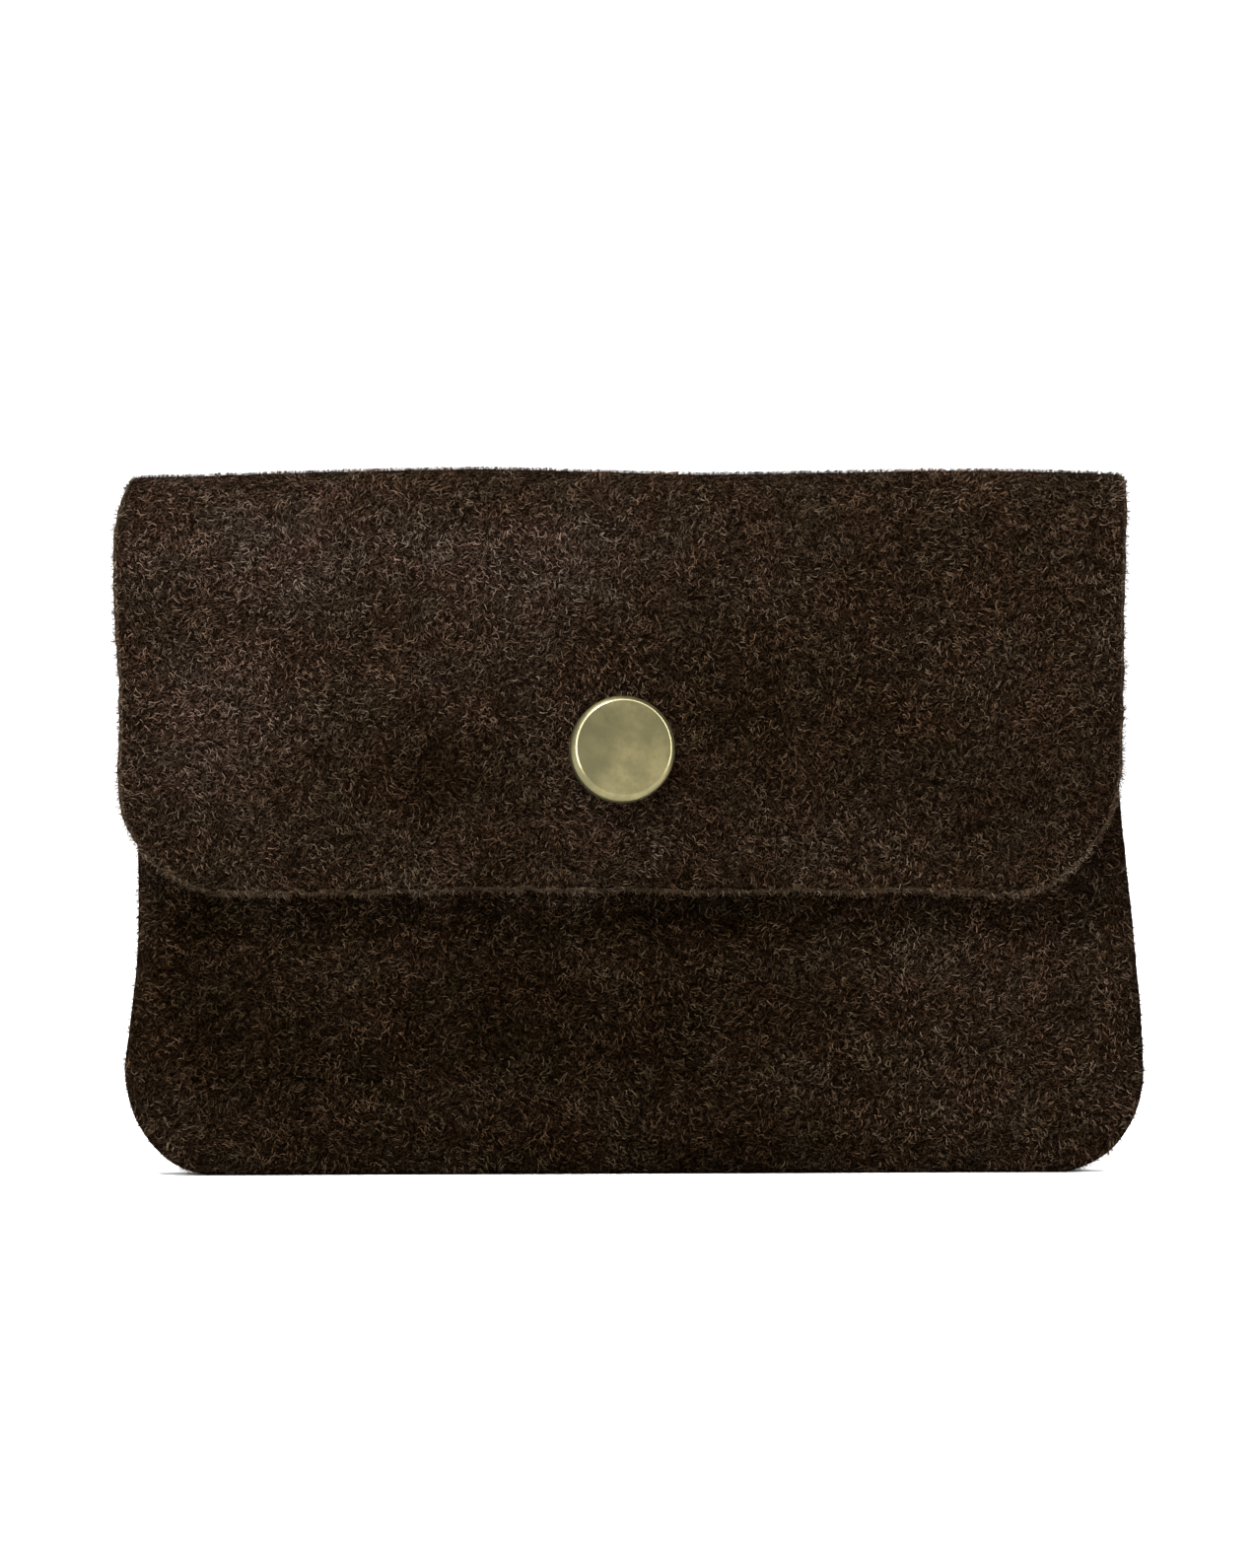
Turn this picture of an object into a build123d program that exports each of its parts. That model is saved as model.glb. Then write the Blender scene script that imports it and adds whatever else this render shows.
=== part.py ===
from build123d import *
import os

# Soft suede flap purse with a press stud: a turned two-panel body with a lining and a zipped
# coin pocket, and a flap that folds over the mouth and snaps shut.
#
# Millimetres. +Z is up and the purse stands on its bottom edge, with its front towards -Y.
# The origin is the middle of the base, below the centre of the whole closed purse.

# ---- Driving dimensions: body and flap ------------------------------------------------------
height = 100.0  # floor to the top of the fold
suede = 1.4  # thickness of every suede layer
depth = 16.0  # body, front face to rear face
rounding = 2.0  # outer radius along the body's turned edges
mouth_top = 84.0  # top edge of the front panel
flap_standoff = 3.2  # front panel to flap, which is the height of the closed snap
crease_gap = 0.3  # free space round each crease of the fold
fold_left, fold_right = -71.6, 70.9
cloth = 0.4  # lining thickness
lining_inset = 6.2  # lining's side seam, in from the body's outline
lining_rounding = 2.4
seam_allowance = 5.5
seam_flange = 1.2  # one skived layer of the seam allowance
stitch_length, stitch_width, stitch_proud = 2.5, 0.5, 0.3
play = 0.1  # clearance of a hole round what goes through it

# ---- Driving dimensions: ring-spring press stud ----------------------------------------------
snap_x, snap_z = -0.8, 60.3
cap_radius, cap_height, cap_rim, cap_sheet = 7.5, 2.3, 1.1, 0.45
barrel_radius, flare_radius, flare_thickness = 1.5, 2.2, 0.25
socket_radius, socket_height, socket_sheet = 5.9, 2.3, 0.4
socket_bore, socket_mouth = 4.6, 2.75
stud_base_radius, stud_base_thickness = 5.0, 0.5
neck_radius, bulb_radius, bulb_height = 1.5, 1.9, 0.6
lip = 0.3  # thickness of the socket's lip
post_radius, post_flange_radius, post_flange = 1.08, 4.5, 0.4
spring_wire, spring_length = 0.25, 7.0

# ---- Driving dimensions: zip of the coin pocket ----------------------------------------------
zip_x, zip_z = -3.0, 90.0  # middle of the chain
tape = 0.5
tape_edge = 1.0  # each tape's inner edge, from the chain's centre line
tape_left, tape_right = 54.0, 61.0  # the tapes' ends, from the middle of the chain
tape_bottom = 10.0  # the lower tape's outer edge, from the centre line
tooth_count, tooth_pitch = 46, 2.0  # on each tape
tooth_width, tooth_length, tooth_thickness = 0.86, 2.7, 2.2
tooth_overlap = 0.5  # how far a tooth crosses the centre line
grip_play = 0.02  # clearance of the tape in a tooth or a stop
stop_width, stop_rounding = 1.6, 0.3
slider_length, slider_thickness = 8.6, 4.0
nose_half_width, tail_half_width = 3.5, 2.9
chain_passage, chain_passage_height = 2.8, 5.0  # in the slider, for the closed teeth
tape_passage, tape_passage_height = 1.0, 10.0  # in the slider, for the tapes
bail_leg, bail_span, bail_rise, bail_bar = 0.6, 5.8, 1.0, 0.7
bail_bar_width = 1.6
pull_length, pull_thickness, pull_play = 12.0, 0.7, 0.12
pull_eye, pull_end, pull_hole = 1.7, 2.3, 1.1  # radii at the bail, at the free end and of its hole
window_height = 8.0
window_left, window_right = 49.5, 58.5  # the window's ends, from the middle of the chain
pocket_bottom = 32.0

# ---- Depths, from the front to the back -------------------------------------------------------
body_y = (cap_height + suede + flap_standoff) / 2  # the body's middle plane
front_face = body_y - depth / 2
rear_face = body_y + depth / 2
flap_inner = front_face - flap_standoff
flap_outer = flap_inner - suede
cap_face = flap_outer - cap_height
lining_front_y = front_face + suede + post_flange + 0.05
pocket_back_y = rear_face - suede - 0.1
slider_back_y = pocket_back_y - 0.85
chain_y = slider_back_y - slider_thickness / 2  # middle of the zip's thickness
lining_back_y = chain_y - tape / 2 - 0.05
lining_y = (lining_front_y + lining_back_y) / 2  # middle plane of the lining bag

# ---- Creases of the fold ----------------------------------------------------------------------
crease_z = height - suede / 2
rear_crease_y = rear_face - suede / 2
front_crease_y = flap_outer + suede / 2
panel_end_z = crease_z - suede / 2 - crease_gap  # where the panels stop below the creases

block_top = height + 10.0  # top of the construction blocks, above every cut
bag_side = 69.9  # half of the body's width at its mouth


def upright(y):
    """The upright plane at depth y, with X to the right, Z up and its normal to the front."""
    return Plane.XZ.offset(-y)


def rectangle_between(x_from, x_to, z_from, z_to):
    """A rectangle given by its sides, for a sketch on an upright plane."""
    with Locations(((x_from + x_to) / 2, (z_from + z_to) / 2)):
        Rectangle(x_to - x_from, z_to - z_from)


def body_outline(inset, top):
    """The body as seen from the front, drawn in by inset and cut off at top.

    The sides come in a little at the waist and the lower corners are quarter ellipses.
    """
    left_waist, left_hip = (-69.8 + inset, 34.0), (-71.5 + inset, 15.5)
    right_waist, right_hip = (70.0 - inset, 55.0), (73.0 - inset, 14.5)
    left_corner, right_corner = (-59.5, 15.5), (62.0, 14.5)
    down = (0, -1)
    with BuildSketch() as outline:
        with BuildLine():
            Line((left_waist[0], top), left_waist)
            Spline(left_waist, left_hip, tangents=(down, down))
            EllipticalCenterArc(left_corner, 12.0 - inset, 15.5 - inset, 180, arc_size=90)
            Line((left_corner[0], inset), (right_corner[0], inset))
            EllipticalCenterArc(right_corner, 11.0 - inset, 14.5 - inset, 270, arc_size=90)
            Spline(right_waist, right_hip, tangents=(down, down))
            Line(right_waist, (right_waist[0], top))
            Line((right_waist[0], top), (left_waist[0], top))
        make_face()
    return outline.sketch


def flap_outline():
    """The flap as seen from the front, hanging closed: a cut edge with two rounded corners."""
    left_corner, right_corner = (-58.4, 56.0), (58.0, 56.0)
    left_radii, right_radii = (14.0, 15.8), (12.2, 16.0)
    left_top, left_bulge = (-72.4, 92.0), (-73.0, 80.0)
    left_end = (left_corner[0] - left_radii[0], left_corner[1])
    right_end = (right_corner[0] + right_radii[0], right_corner[1])
    left_foot = (left_corner[0], left_corner[1] - left_radii[1])
    right_foot = (right_corner[0], right_corner[1] - right_radii[1])
    with BuildSketch() as outline:
        with BuildLine():
            Polyline((fold_right, panel_end_z), (fold_left, panel_end_z), left_top)
            Spline(left_top, left_bulge, left_end, tangents=((-0.1, -1), (0, -1)))
            EllipticalCenterArc(left_corner, *left_radii, 180, arc_size=90)
            Line(left_foot, right_foot)
            EllipticalCenterArc(right_corner, *right_radii, 270, arc_size=90)
            Line(right_end, (fold_right, panel_end_z))
        make_face()
    return outline.sketch


def bag_block(inset, thickness, radius, middle):
    """A closed block of the body's outline with its front and rear edges rounded."""
    with BuildPart() as block:
        with BuildSketch(upright(middle + thickness / 2)):
            add(body_outline(inset, block_top))
        extrude(amount=thickness)
        front_and_rear = block.edges().group_by(Axis.Y)[0] + block.edges().group_by(Axis.Y)[-1]
        fillet(front_and_rear.filter_by_position(Axis.Z, -1, block_top - 1), radius)
    return block.part


def half_bag(inset, thickness, wall, radius, middle, keep):
    """Half of a bag of that wall: the block, hollowed, halved at its middle and cut at its mouth."""
    with BuildPart() as shell:
        add(bag_block(inset, thickness, radius, middle))
        add(bag_block(inset + wall, thickness - 2 * wall, radius - wall, middle), mode=Mode.SUBTRACT)
        split(bisect_by=upright(middle), keep=keep)
        split(bisect_by=Plane.XY.offset(mouth_top), keep=Keep.BOTTOM)
    return shell.part


def seam_band(y_back):
    """The seam allowance of one panel: a flat U along the body's sides and bottom."""
    with BuildPart() as band:
        with BuildSketch(upright(y_back)):
            add(body_outline(suede / 2, mouth_top))
            add(body_outline(seam_allowance, mouth_top + 1), mode=Mode.SUBTRACT)
        extrude(amount=seam_flange)
    return band.part


def stitch_row(y_back, z, x_from, x_to):
    """A straight row of separate stitches, each a small round-ended bar proud of the cloth."""
    pitch = 3.2
    count = int((x_to - x_from) / pitch)
    with BuildPart() as row:
        with BuildSketch(upright(y_back)):
            with Locations(((x_from + x_to) / 2, z)):
                with GridLocations(pitch, 1, count, 1):
                    SlotOverall(stitch_length, stitch_width)
        extrude(amount=stitch_proud)
    return row.part


def turned(profile_points):
    """A solid turned about the press stud's axis, from points of (radius, depth)."""
    axis_plane = Plane((snap_x, 0, snap_z), x_dir=(1, 0, 0), z_dir=(0, 0, 1))
    with BuildPart() as solid:
        with BuildSketch(axis_plane):
            with BuildLine():
                Polyline(*profile_points, close=True)
            make_face()
        revolve(axis=Axis((snap_x, 0, snap_z), (0, 1, 0)))
    return solid.part


def tape_slot(side, x, width, reach):
    """The slot that teeth or stops grip a tape in, on one side of the zip's centre line."""
    with BuildPart() as slot:
        with BuildSketch(upright(chain_y + tape / 2 + grip_play)):
            with Locations((x, zip_z + side * (tape_edge - play + reach / 2))):
                Rectangle(width, reach)
        extrude(amount=tape + 2 * grip_play)
    return slot.part


def teeth(side):
    """One tape's row of teeth: side is 1 above the centre line and -1 below it."""
    middle_z = zip_z + side * (tooth_length / 2 - tooth_overlap)
    with BuildPart() as row:
        with BuildSketch(upright(chain_y + tooth_thickness / 2)):
            with Locations((zip_x + side * tooth_pitch / 4, middle_z)):
                with GridLocations(tooth_pitch, 1, tooth_count, 1):
                    RectangleRounded(tooth_width, tooth_length, 0.2)
        extrude(amount=tooth_thickness)
        add(tape_slot(side, zip_x, tooth_count * tooth_pitch + 4, tooth_length), mode=Mode.SUBTRACT)
    return row.part


def zip_tape(z_from, z_to):
    """A woven tape along the whole zip."""
    with BuildPart() as strip:
        with BuildSketch(upright(chain_y + tape / 2)):
            rectangle_between(zip_x - tape_left, zip_x + tape_right, z_from, z_to)
        extrude(amount=tape)
    return strip.part


def write(node, part):
    """Labels a finished piece and writes it as its own STEP file."""
    part.label = node
    export_step(part, f"parts/{node}.step")


os.makedirs("parts", exist_ok=True)

# ---- Body panels: two turned suede shells with their seam allowances inside -------------------
with BuildPart() as front_panel:
    add(half_bag(0, depth, suede, rounding, body_y, Keep.TOP))
    add(seam_band(body_y))
    with BuildSketch(upright(front_face + suede)):
        with Locations((snap_x, snap_z)):
            Circle(post_radius + play)
    extrude(amount=suede, mode=Mode.SUBTRACT)
write("front_panel", front_panel.part)

with BuildPart() as rear_panel:
    add(half_bag(0, depth, suede, rounding, body_y, Keep.BOTTOM))
    add(seam_band(body_y + seam_flange))
    with BuildSketch(upright(rear_face)):
        with BuildLine():
            Polyline(
                (-bag_side + rounding, mouth_top - rounding),
                (-bag_side + rounding, mouth_top),
                (-bag_side, mouth_top),
                (fold_left, panel_end_z),
                (fold_right, panel_end_z),
                (bag_side, mouth_top),
                (bag_side - rounding, mouth_top),
                (bag_side - rounding, mouth_top - rounding),
                close=True,
            )
        make_face()
    extrude(amount=suede)
write("rear_panel", rear_panel.part)

# ---- Fold over the mouth: a strip with a round bead along each crease --------------------------
with BuildPart() as fold_strip:
    with BuildSketch(Plane.YZ.offset(fold_left)):
        with Locations(((rear_crease_y + front_crease_y) / 2, crease_z)):
            SlotCenterToCenter(rear_crease_y - front_crease_y, suede)
    extrude(amount=fold_right - fold_left)
write("fold_strip", fold_strip.part)

# ---- Flap: one layer with a raw cut edge ------------------------------------------------------
with BuildPart() as flap:
    with BuildSketch(upright(flap_inner)):
        add(flap_outline())
        with Locations((snap_x, snap_z)):
            Circle(barrel_radius + play, mode=Mode.SUBTRACT)
    extrude(amount=suede)
write("flap", flap.part)

# ---- Seam thread: stitches on both faces of the joined seam allowances ------------------------
stitch_inset, stitch_pitch = 3.4, 4.0
seam_edges = body_outline(stitch_inset, mouth_top - 3.0).edges().sort_by(Axis.Y)[:-1]
seam_path = Wire(seam_edges)
stitch_count = int(seam_path.length / stitch_pitch)
with BuildPart() as seam_thread:
    for y_back in (body_y - seam_flange, body_y + seam_flange + stitch_proud):
        with BuildSketch(upright(y_back)):
            for number in range(stitch_count):
                along = (number + 0.5) / stitch_count
                point, direction = seam_path @ along, seam_path % along
                turn = Vector(1, 0).get_signed_angle(direction, Vector(0, 0, 1))
                with Locations(Location((point.X, point.Y, 0), (0, 0, turn))):
                    SlotOverall(stitch_length, stitch_width)
        extrude(amount=stitch_proud)
write("seam_thread", seam_thread.part)

# ---- Lining bag and the threads that hold it --------------------------------------------------
lining_depth = lining_back_y - lining_front_y
lining_args = (lining_inset, lining_depth, cloth, lining_rounding, lining_y)
lining_top = panel_end_z - 1.0

with BuildPart() as lining_front:
    add(half_bag(*lining_args, Keep.TOP))
    split(bisect_by=Plane.XY.offset(mouth_top - 0.5), keep=Keep.BOTTOM)
write("lining_front", lining_front.part)

with BuildPart() as lining_rear:
    add(half_bag(*lining_args, Keep.BOTTOM))
    with BuildSketch(upright(lining_back_y)):
        side = bag_side - lining_inset
        flat = side - lining_rounding
        rectangle_between(-flat, flat, mouth_top - lining_rounding, mouth_top)
        rectangle_between(-side, side, mouth_top, lining_top)
    extrude(amount=cloth)
    with BuildSketch(upright(lining_back_y)):
        window_from, window_to = zip_x - window_left, zip_x + window_right
        with Locations(((window_from + window_to) / 2, zip_z)):
            RectangleRounded(window_to - window_from, window_height, 1.0)
    extrude(amount=cloth, mode=Mode.SUBTRACT)
write("lining_rear", lining_rear.part)

with BuildPart() as mouth_thread:
    add(stitch_row(front_face, mouth_top - 2.5, -bag_side + 4, bag_side - 4))
write("mouth_thread", mouth_thread.part)

# ---- Coin pocket: a flat bag behind the lining, open at its zip --------------------------------
pocket_left, pocket_right = -58.0, 58.0
pocket_front_y = chain_y + tape / 2 + 0.05
pocket_front_top = zip_z - 3.7
with BuildPart() as pocket_bag:
    with BuildSketch(upright(pocket_back_y)):
        rectangle_between(pocket_left, pocket_right, pocket_bottom, lining_top)
    extrude(amount=pocket_back_y - pocket_front_y)
    with BuildSketch(upright(pocket_back_y - cloth)):
        rectangle_between(pocket_left + cloth, pocket_right - cloth, pocket_bottom + cloth, height)
    extrude(amount=pocket_back_y - pocket_front_y - 2 * cloth, mode=Mode.SUBTRACT)
    with BuildSketch(upright(pocket_back_y - cloth)):
        rectangle_between(pocket_left - 1, pocket_right + 1, pocket_front_top, height)
    extrude(amount=depth, mode=Mode.SUBTRACT)
write("pocket_bag", pocket_bag.part)

# ---- Zip: tapes, teeth, stops, slider and pull -------------------------------------------------
write("zip_tape_upper", zip_tape(zip_z + tape_edge, lining_top - 0.3))
write("zip_tape_lower", zip_tape(zip_z - tape_bottom, zip_z - tape_edge))
write("zip_teeth_upper", teeth(1))
write("zip_teeth_lower", teeth(-1))

chain_end = zip_x + tooth_count * tooth_pitch / 2
chain_start = zip_x - tooth_count * tooth_pitch / 2
slider_x = chain_end + 4.5  # the slider's middle when the zip is closed

with BuildPart() as zip_stitching:
    stitch_line = window_height / 2 + 1.3
    for z in (zip_z - stitch_line, zip_z + stitch_line):
        add(stitch_row(lining_back_y - cloth, z, window_from, window_to))
write("zip_stitching", zip_stitching.part)

with BuildPart() as zip_top_stops:
    stop_x = slider_x + slider_length / 2 + 1.2
    with BuildSketch(upright(chain_y + tooth_thickness / 2)):
        for side in (-1, 1):
            with Locations((stop_x, zip_z + side * 1.7)):
                RectangleRounded(stop_width, 1.8, stop_rounding)
    extrude(amount=tooth_thickness)
    for side in (-1, 1):
        add(tape_slot(side, stop_x, 3.0, 2.0), mode=Mode.SUBTRACT)
write("zip_top_stops", zip_top_stops.part)

with BuildPart() as zip_bottom_stop:
    bottom_stop_x = chain_start - 1.5
    with BuildSketch(upright(chain_y + tooth_thickness / 2)):
        with Locations((bottom_stop_x, zip_z)):
            RectangleRounded(stop_width, 4.4, stop_rounding)
    extrude(amount=tooth_thickness)
    for side in (-1, 1):
        add(tape_slot(side, bottom_stop_x, 3.0, 2.0), mode=Mode.SUBTRACT)
write("zip_bottom_stop", zip_bottom_stop.part)

with BuildPart() as zip_slider:
    slider_front_y = slider_back_y - slider_thickness
    nose, tail = slider_x + slider_length / 2, slider_x - slider_length / 2
    with BuildSketch(upright(slider_back_y)):
        with BuildLine():
            Polyline(
                (nose, zip_z - nose_half_width),
                (nose, zip_z + nose_half_width),
                (tail, zip_z + tail_half_width),
                (tail, zip_z - tail_half_width),
                close=True,
            )
        make_face()
        fillet(vertices(), 1.2)
    extrude(amount=slider_thickness)
    # the passage for the teeth, and the slot for the tapes on both sides of it
    passages = [(chain_passage, chain_passage_height), (tape_passage, tape_passage_height)]
    for passage_depth, passage_height in passages:
        with BuildSketch(upright(chain_y + passage_depth / 2)):
            with Locations((slider_x, zip_z)):
                Rectangle(slider_length + 2, passage_height)
        extrude(amount=passage_depth, mode=Mode.SUBTRACT)
    # the diamond that parts the teeth and joins the two plates
    with BuildSketch(upright(slider_back_y)):
        with BuildLine():
            Polyline(
                (slider_x + 0.8, zip_z),
                (slider_x + 2.8, zip_z - 0.8),
                (slider_x + 4.0, zip_z - 0.5),
                (slider_x + 4.0, zip_z + 0.5),
                (slider_x + 2.8, zip_z + 0.8),
                close=True,
            )
        make_face()
    extrude(amount=slider_thickness)
    # the bail: two round legs and a bar over them
    with BuildSketch(upright(slider_front_y + 0.1)):
        with Locations((slider_x - bail_span / 2, zip_z), (slider_x + bail_span / 2, zip_z)):
            Circle(bail_leg)
    extrude(amount=bail_rise + 0.2)
    with BuildSketch(upright(slider_front_y - bail_rise)):
        with Locations((slider_x, zip_z)):
            SlotCenterToCenter(bail_span, bail_bar_width)
    extrude(amount=bail_bar)
write("zip_slider", zip_slider.part)

pivot_x = slider_x - bail_span / 2
with BuildPart() as zip_pull:
    with BuildSketch(upright(slider_front_y - (bail_rise - pull_thickness) / 2)):
        with Locations((pivot_x, zip_z)):
            Circle(pull_eye)
        with Locations((pivot_x, zip_z - pull_length)):
            Circle(pull_end)
        make_hull()
        with Locations((pivot_x, zip_z)):
            Circle(bail_leg + pull_play, mode=Mode.SUBTRACT)
        with Locations((pivot_x, zip_z - pull_length)):
            Circle(pull_hole, mode=Mode.SUBTRACT)
    extrude(amount=pull_thickness)
write("zip_pull", zip_pull.part)

# ---- Press stud: cap and spring socket on the flap, stud and post on the front panel -----------
socket_top = flap_inner  # where the socket sits on the flap
socket_lip = flap_inner + socket_height
flare_y = socket_top + socket_sheet
stud_top = flare_y + flare_thickness + 0.2
neck_top = stud_top + bulb_height
stud_base_y = front_face - stud_base_thickness

with BuildPart() as snap_cap:
    with BuildSketch(Plane((snap_x, 0, snap_z), x_dir=(1, 0, 0), z_dir=(0, 0, 1))):
        with BuildLine():
            rim_centre = (cap_radius - cap_rim, cap_face + cap_rim)
            Line((0, cap_face), (rim_centre[0], cap_face))
            CenterArc(rim_centre, cap_rim, 270, arc_size=90)
            Polyline(
                (cap_radius, rim_centre[1]),
                (cap_radius, flap_outer),
                (cap_radius - cap_sheet, flap_outer),
                (cap_radius - cap_sheet, rim_centre[1]),
                (rim_centre[0], cap_face + cap_sheet),
                (barrel_radius, cap_face + cap_sheet),
                (barrel_radius, flare_y),
                (flare_radius, flare_y),
                (flare_radius, flare_y + flare_thickness),
                (0, flare_y + flare_thickness),
                (0, cap_face),
            )
        make_face()
    revolve(axis=Axis((snap_x, 0, snap_z), (0, 1, 0)))
write("snap_cap", snap_cap.part)

socket_profile = [
    (barrel_radius + 0.05, socket_top),
    (socket_radius, socket_top),
    (socket_radius, socket_lip),
    (socket_mouth, socket_lip),
    (socket_mouth, socket_lip - lip),
    (socket_bore, socket_lip - lip),
    (socket_bore, flare_y),
    (barrel_radius + 0.05, flare_y),
]
write("snap_socket", turned(socket_profile))

with BuildPart() as snap_spring:
    spring_y = socket_lip - lip - spring_wire - 0.03
    with BuildSketch(Plane.XY.offset(snap_z - spring_length / 2)):
        for side in (-1, 1):
            with Locations((snap_x + side * (neck_radius + spring_wire + play), spring_y)):
                Circle(spring_wire)
    extrude(amount=spring_length)
write("snap_spring", snap_spring.part)

stud_profile = [
    (post_radius + 0.02, front_face),
    (stud_base_radius, front_face),
    (stud_base_radius, stud_base_y),
    (neck_radius, stud_base_y),
    (neck_radius, neck_top),
    (bulb_radius, neck_top - 0.15),
    (bulb_radius, stud_top + 0.25),
    (bulb_radius - 0.3, stud_top),
    (0, stud_top),
    (0, stud_top + 0.4),
    (post_radius + 0.02, stud_top + 0.4),
]
write("snap_stud", turned(stud_profile))

post_back = front_face + suede
post_profile = [
    (0, post_back + post_flange),
    (post_flange_radius, post_back + post_flange),
    (post_flange_radius, post_back),
    (post_radius, post_back),
    (post_radius, stud_top + 0.5),
    (0, stud_top + 0.5),
]
write("snap_post", turned(post_profile))
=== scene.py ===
"""The looks of the suede flap purse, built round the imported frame.

Lengths in the shape code are millimetres.
"""

import math

import bmesh
import bpy
import numpy as np
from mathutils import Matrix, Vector


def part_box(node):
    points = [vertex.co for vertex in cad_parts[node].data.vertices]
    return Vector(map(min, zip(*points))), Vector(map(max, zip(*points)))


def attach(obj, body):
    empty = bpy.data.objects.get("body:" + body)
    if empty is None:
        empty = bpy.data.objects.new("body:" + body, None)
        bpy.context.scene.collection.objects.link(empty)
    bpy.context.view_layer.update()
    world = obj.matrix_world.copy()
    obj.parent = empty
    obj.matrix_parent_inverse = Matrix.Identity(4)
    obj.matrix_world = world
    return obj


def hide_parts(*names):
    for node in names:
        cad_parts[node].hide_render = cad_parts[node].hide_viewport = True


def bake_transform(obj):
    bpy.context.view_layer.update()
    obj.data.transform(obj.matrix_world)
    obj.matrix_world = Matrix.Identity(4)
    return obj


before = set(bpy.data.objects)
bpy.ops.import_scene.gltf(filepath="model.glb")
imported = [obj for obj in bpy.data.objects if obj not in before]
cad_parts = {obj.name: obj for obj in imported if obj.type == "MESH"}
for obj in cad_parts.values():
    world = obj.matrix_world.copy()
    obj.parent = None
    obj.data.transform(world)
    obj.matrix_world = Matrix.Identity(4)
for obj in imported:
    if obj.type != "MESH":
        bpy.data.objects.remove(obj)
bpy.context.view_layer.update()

MM = 0.001


def box_mm(node):
    """A CAD node's lowest and highest corner, in millimetres."""
    low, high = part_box(node)
    return np.array(low) / MM, np.array(high) / MM


# ---- Sizes, all from the frame ------------------------------------------------------------------
FRONT_LOW, FRONT_HIGH = box_mm("front_panel")
FLAP_LOW, FLAP_HIGH = box_mm("flap")
CAP_LOW, CAP_HIGH = box_mm("snap_cap")
FOLD_LOW, FOLD_HIGH = box_mm("fold_strip")

SUEDE = FLAP_HIGH[1] - FLAP_LOW[1]  # thickness of the leather
SEAM_Y = FRONT_HIGH[1]  # the plane of the turned seam
HALF_DEPTH = SEAM_Y - FRONT_LOW[1]
MOUTH_Z = FRONT_HIGH[2]
TOP_Z = FOLD_HIGH[2]
FLAP_FACE = FLAP_LOW[1]  # the flap's outer face
REAR_FACE = box_mm("rear_panel")[1][1]
CREASE_Z = TOP_Z - SUEDE / 2
REAR_CREASE = np.array([0, FOLD_HIGH[1] - SUEDE / 2, CREASE_Z])
FRONT_CREASE = np.array([0, FOLD_LOW[1] + SUEDE / 2, CREASE_Z])
FOLD_MIDDLE = (REAR_CREASE[1] + FRONT_CREASE[1]) / 2
FOLD_RADIUS = 6.0  # outer radius of the leather where it turns over the mouth
SNAP = np.array([(CAP_LOW[0] + CAP_HIGH[0]) / 2, (CAP_LOW[2] + CAP_HIGH[2]) / 2])

LINING_LOW = np.minimum(box_mm("lining_front")[0], box_mm("lining_rear")[0])
LINING_HIGH = np.maximum(box_mm("lining_front")[1], box_mm("lining_rear")[1])
LINING_SEAM = box_mm("lining_front")[1][1]  # depth of the lining's side seam
LINING_CORNER = 9.0
CLOTH = 0.4  # thickness of the lining
TAPE_TOP = box_mm("zip_tape_upper")[1][2]

STEP = 0.65  # spacing of the leather's mesh


# ---- Numbers that repeat the same way each run ---------------------------------------------------
def smooth_noise(u, v, cell, seed):
    """Smooth random heights from -1 to 1 over a plane, with features about one cell wide."""
    rng = np.random.RandomState(seed)
    size = 257
    lattice = rng.uniform(-1, 1, (size, size))
    # shifted, so that no line of the lattice runs through the middle of the purse
    a, b = np.asarray(u) / cell + 64.37, np.asarray(v) / cell + 64.71
    i, j = np.floor(a).astype(int), np.floor(b).astype(int)
    s, t = a - i, b - j
    s, t = s * s * s * (s * (s * 6 - 15) + 10), t * t * t * (t * (t * 6 - 15) + 10)
    i, j = i % (size - 1), j % (size - 1)
    low = lattice[i, j] * (1 - s) + lattice[i + 1, j] * s
    high = lattice[i, j + 1] * (1 - s) + lattice[i + 1, j + 1] * s
    return low * (1 - t) + high * t


def ease(value, start, end):
    """0 before start, 1 after end, and smooth between them."""
    t = np.clip((np.asarray(value, float) - start) / (end - start), 0, 1)
    return t * t * (3 - 2 * t)


def hermite(points, where):
    """A smooth curve through a few (position, value) points."""
    p = np.array(points, float)
    x, y = p[:, 0], p[:, 1]
    slope = np.gradient(y, x)
    k = np.clip(np.searchsorted(x, where) - 1, 0, len(x) - 2)
    h = x[k + 1] - x[k]
    t = np.clip((where - x[k]) / h, 0, 1)
    a, b = 2 * t**3 - 3 * t**2 + 1, t**3 - 2 * t**2 + t
    c, d = -2 * t**3 + 3 * t**2, t**3 - t**2
    return a * y[k] + b * h * slope[k] + c * y[k + 1] + d * h * slope[k + 1]


def resample(path, count):
    """count points evenly spaced along a polyline."""
    run = np.concatenate([[0], np.cumsum(np.linalg.norm(np.diff(path, axis=0), axis=1))])
    at = np.linspace(0, run[-1], count)
    return np.stack([np.interp(at, run, path[:, k]) for k in range(path.shape[1])], 1)


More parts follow.
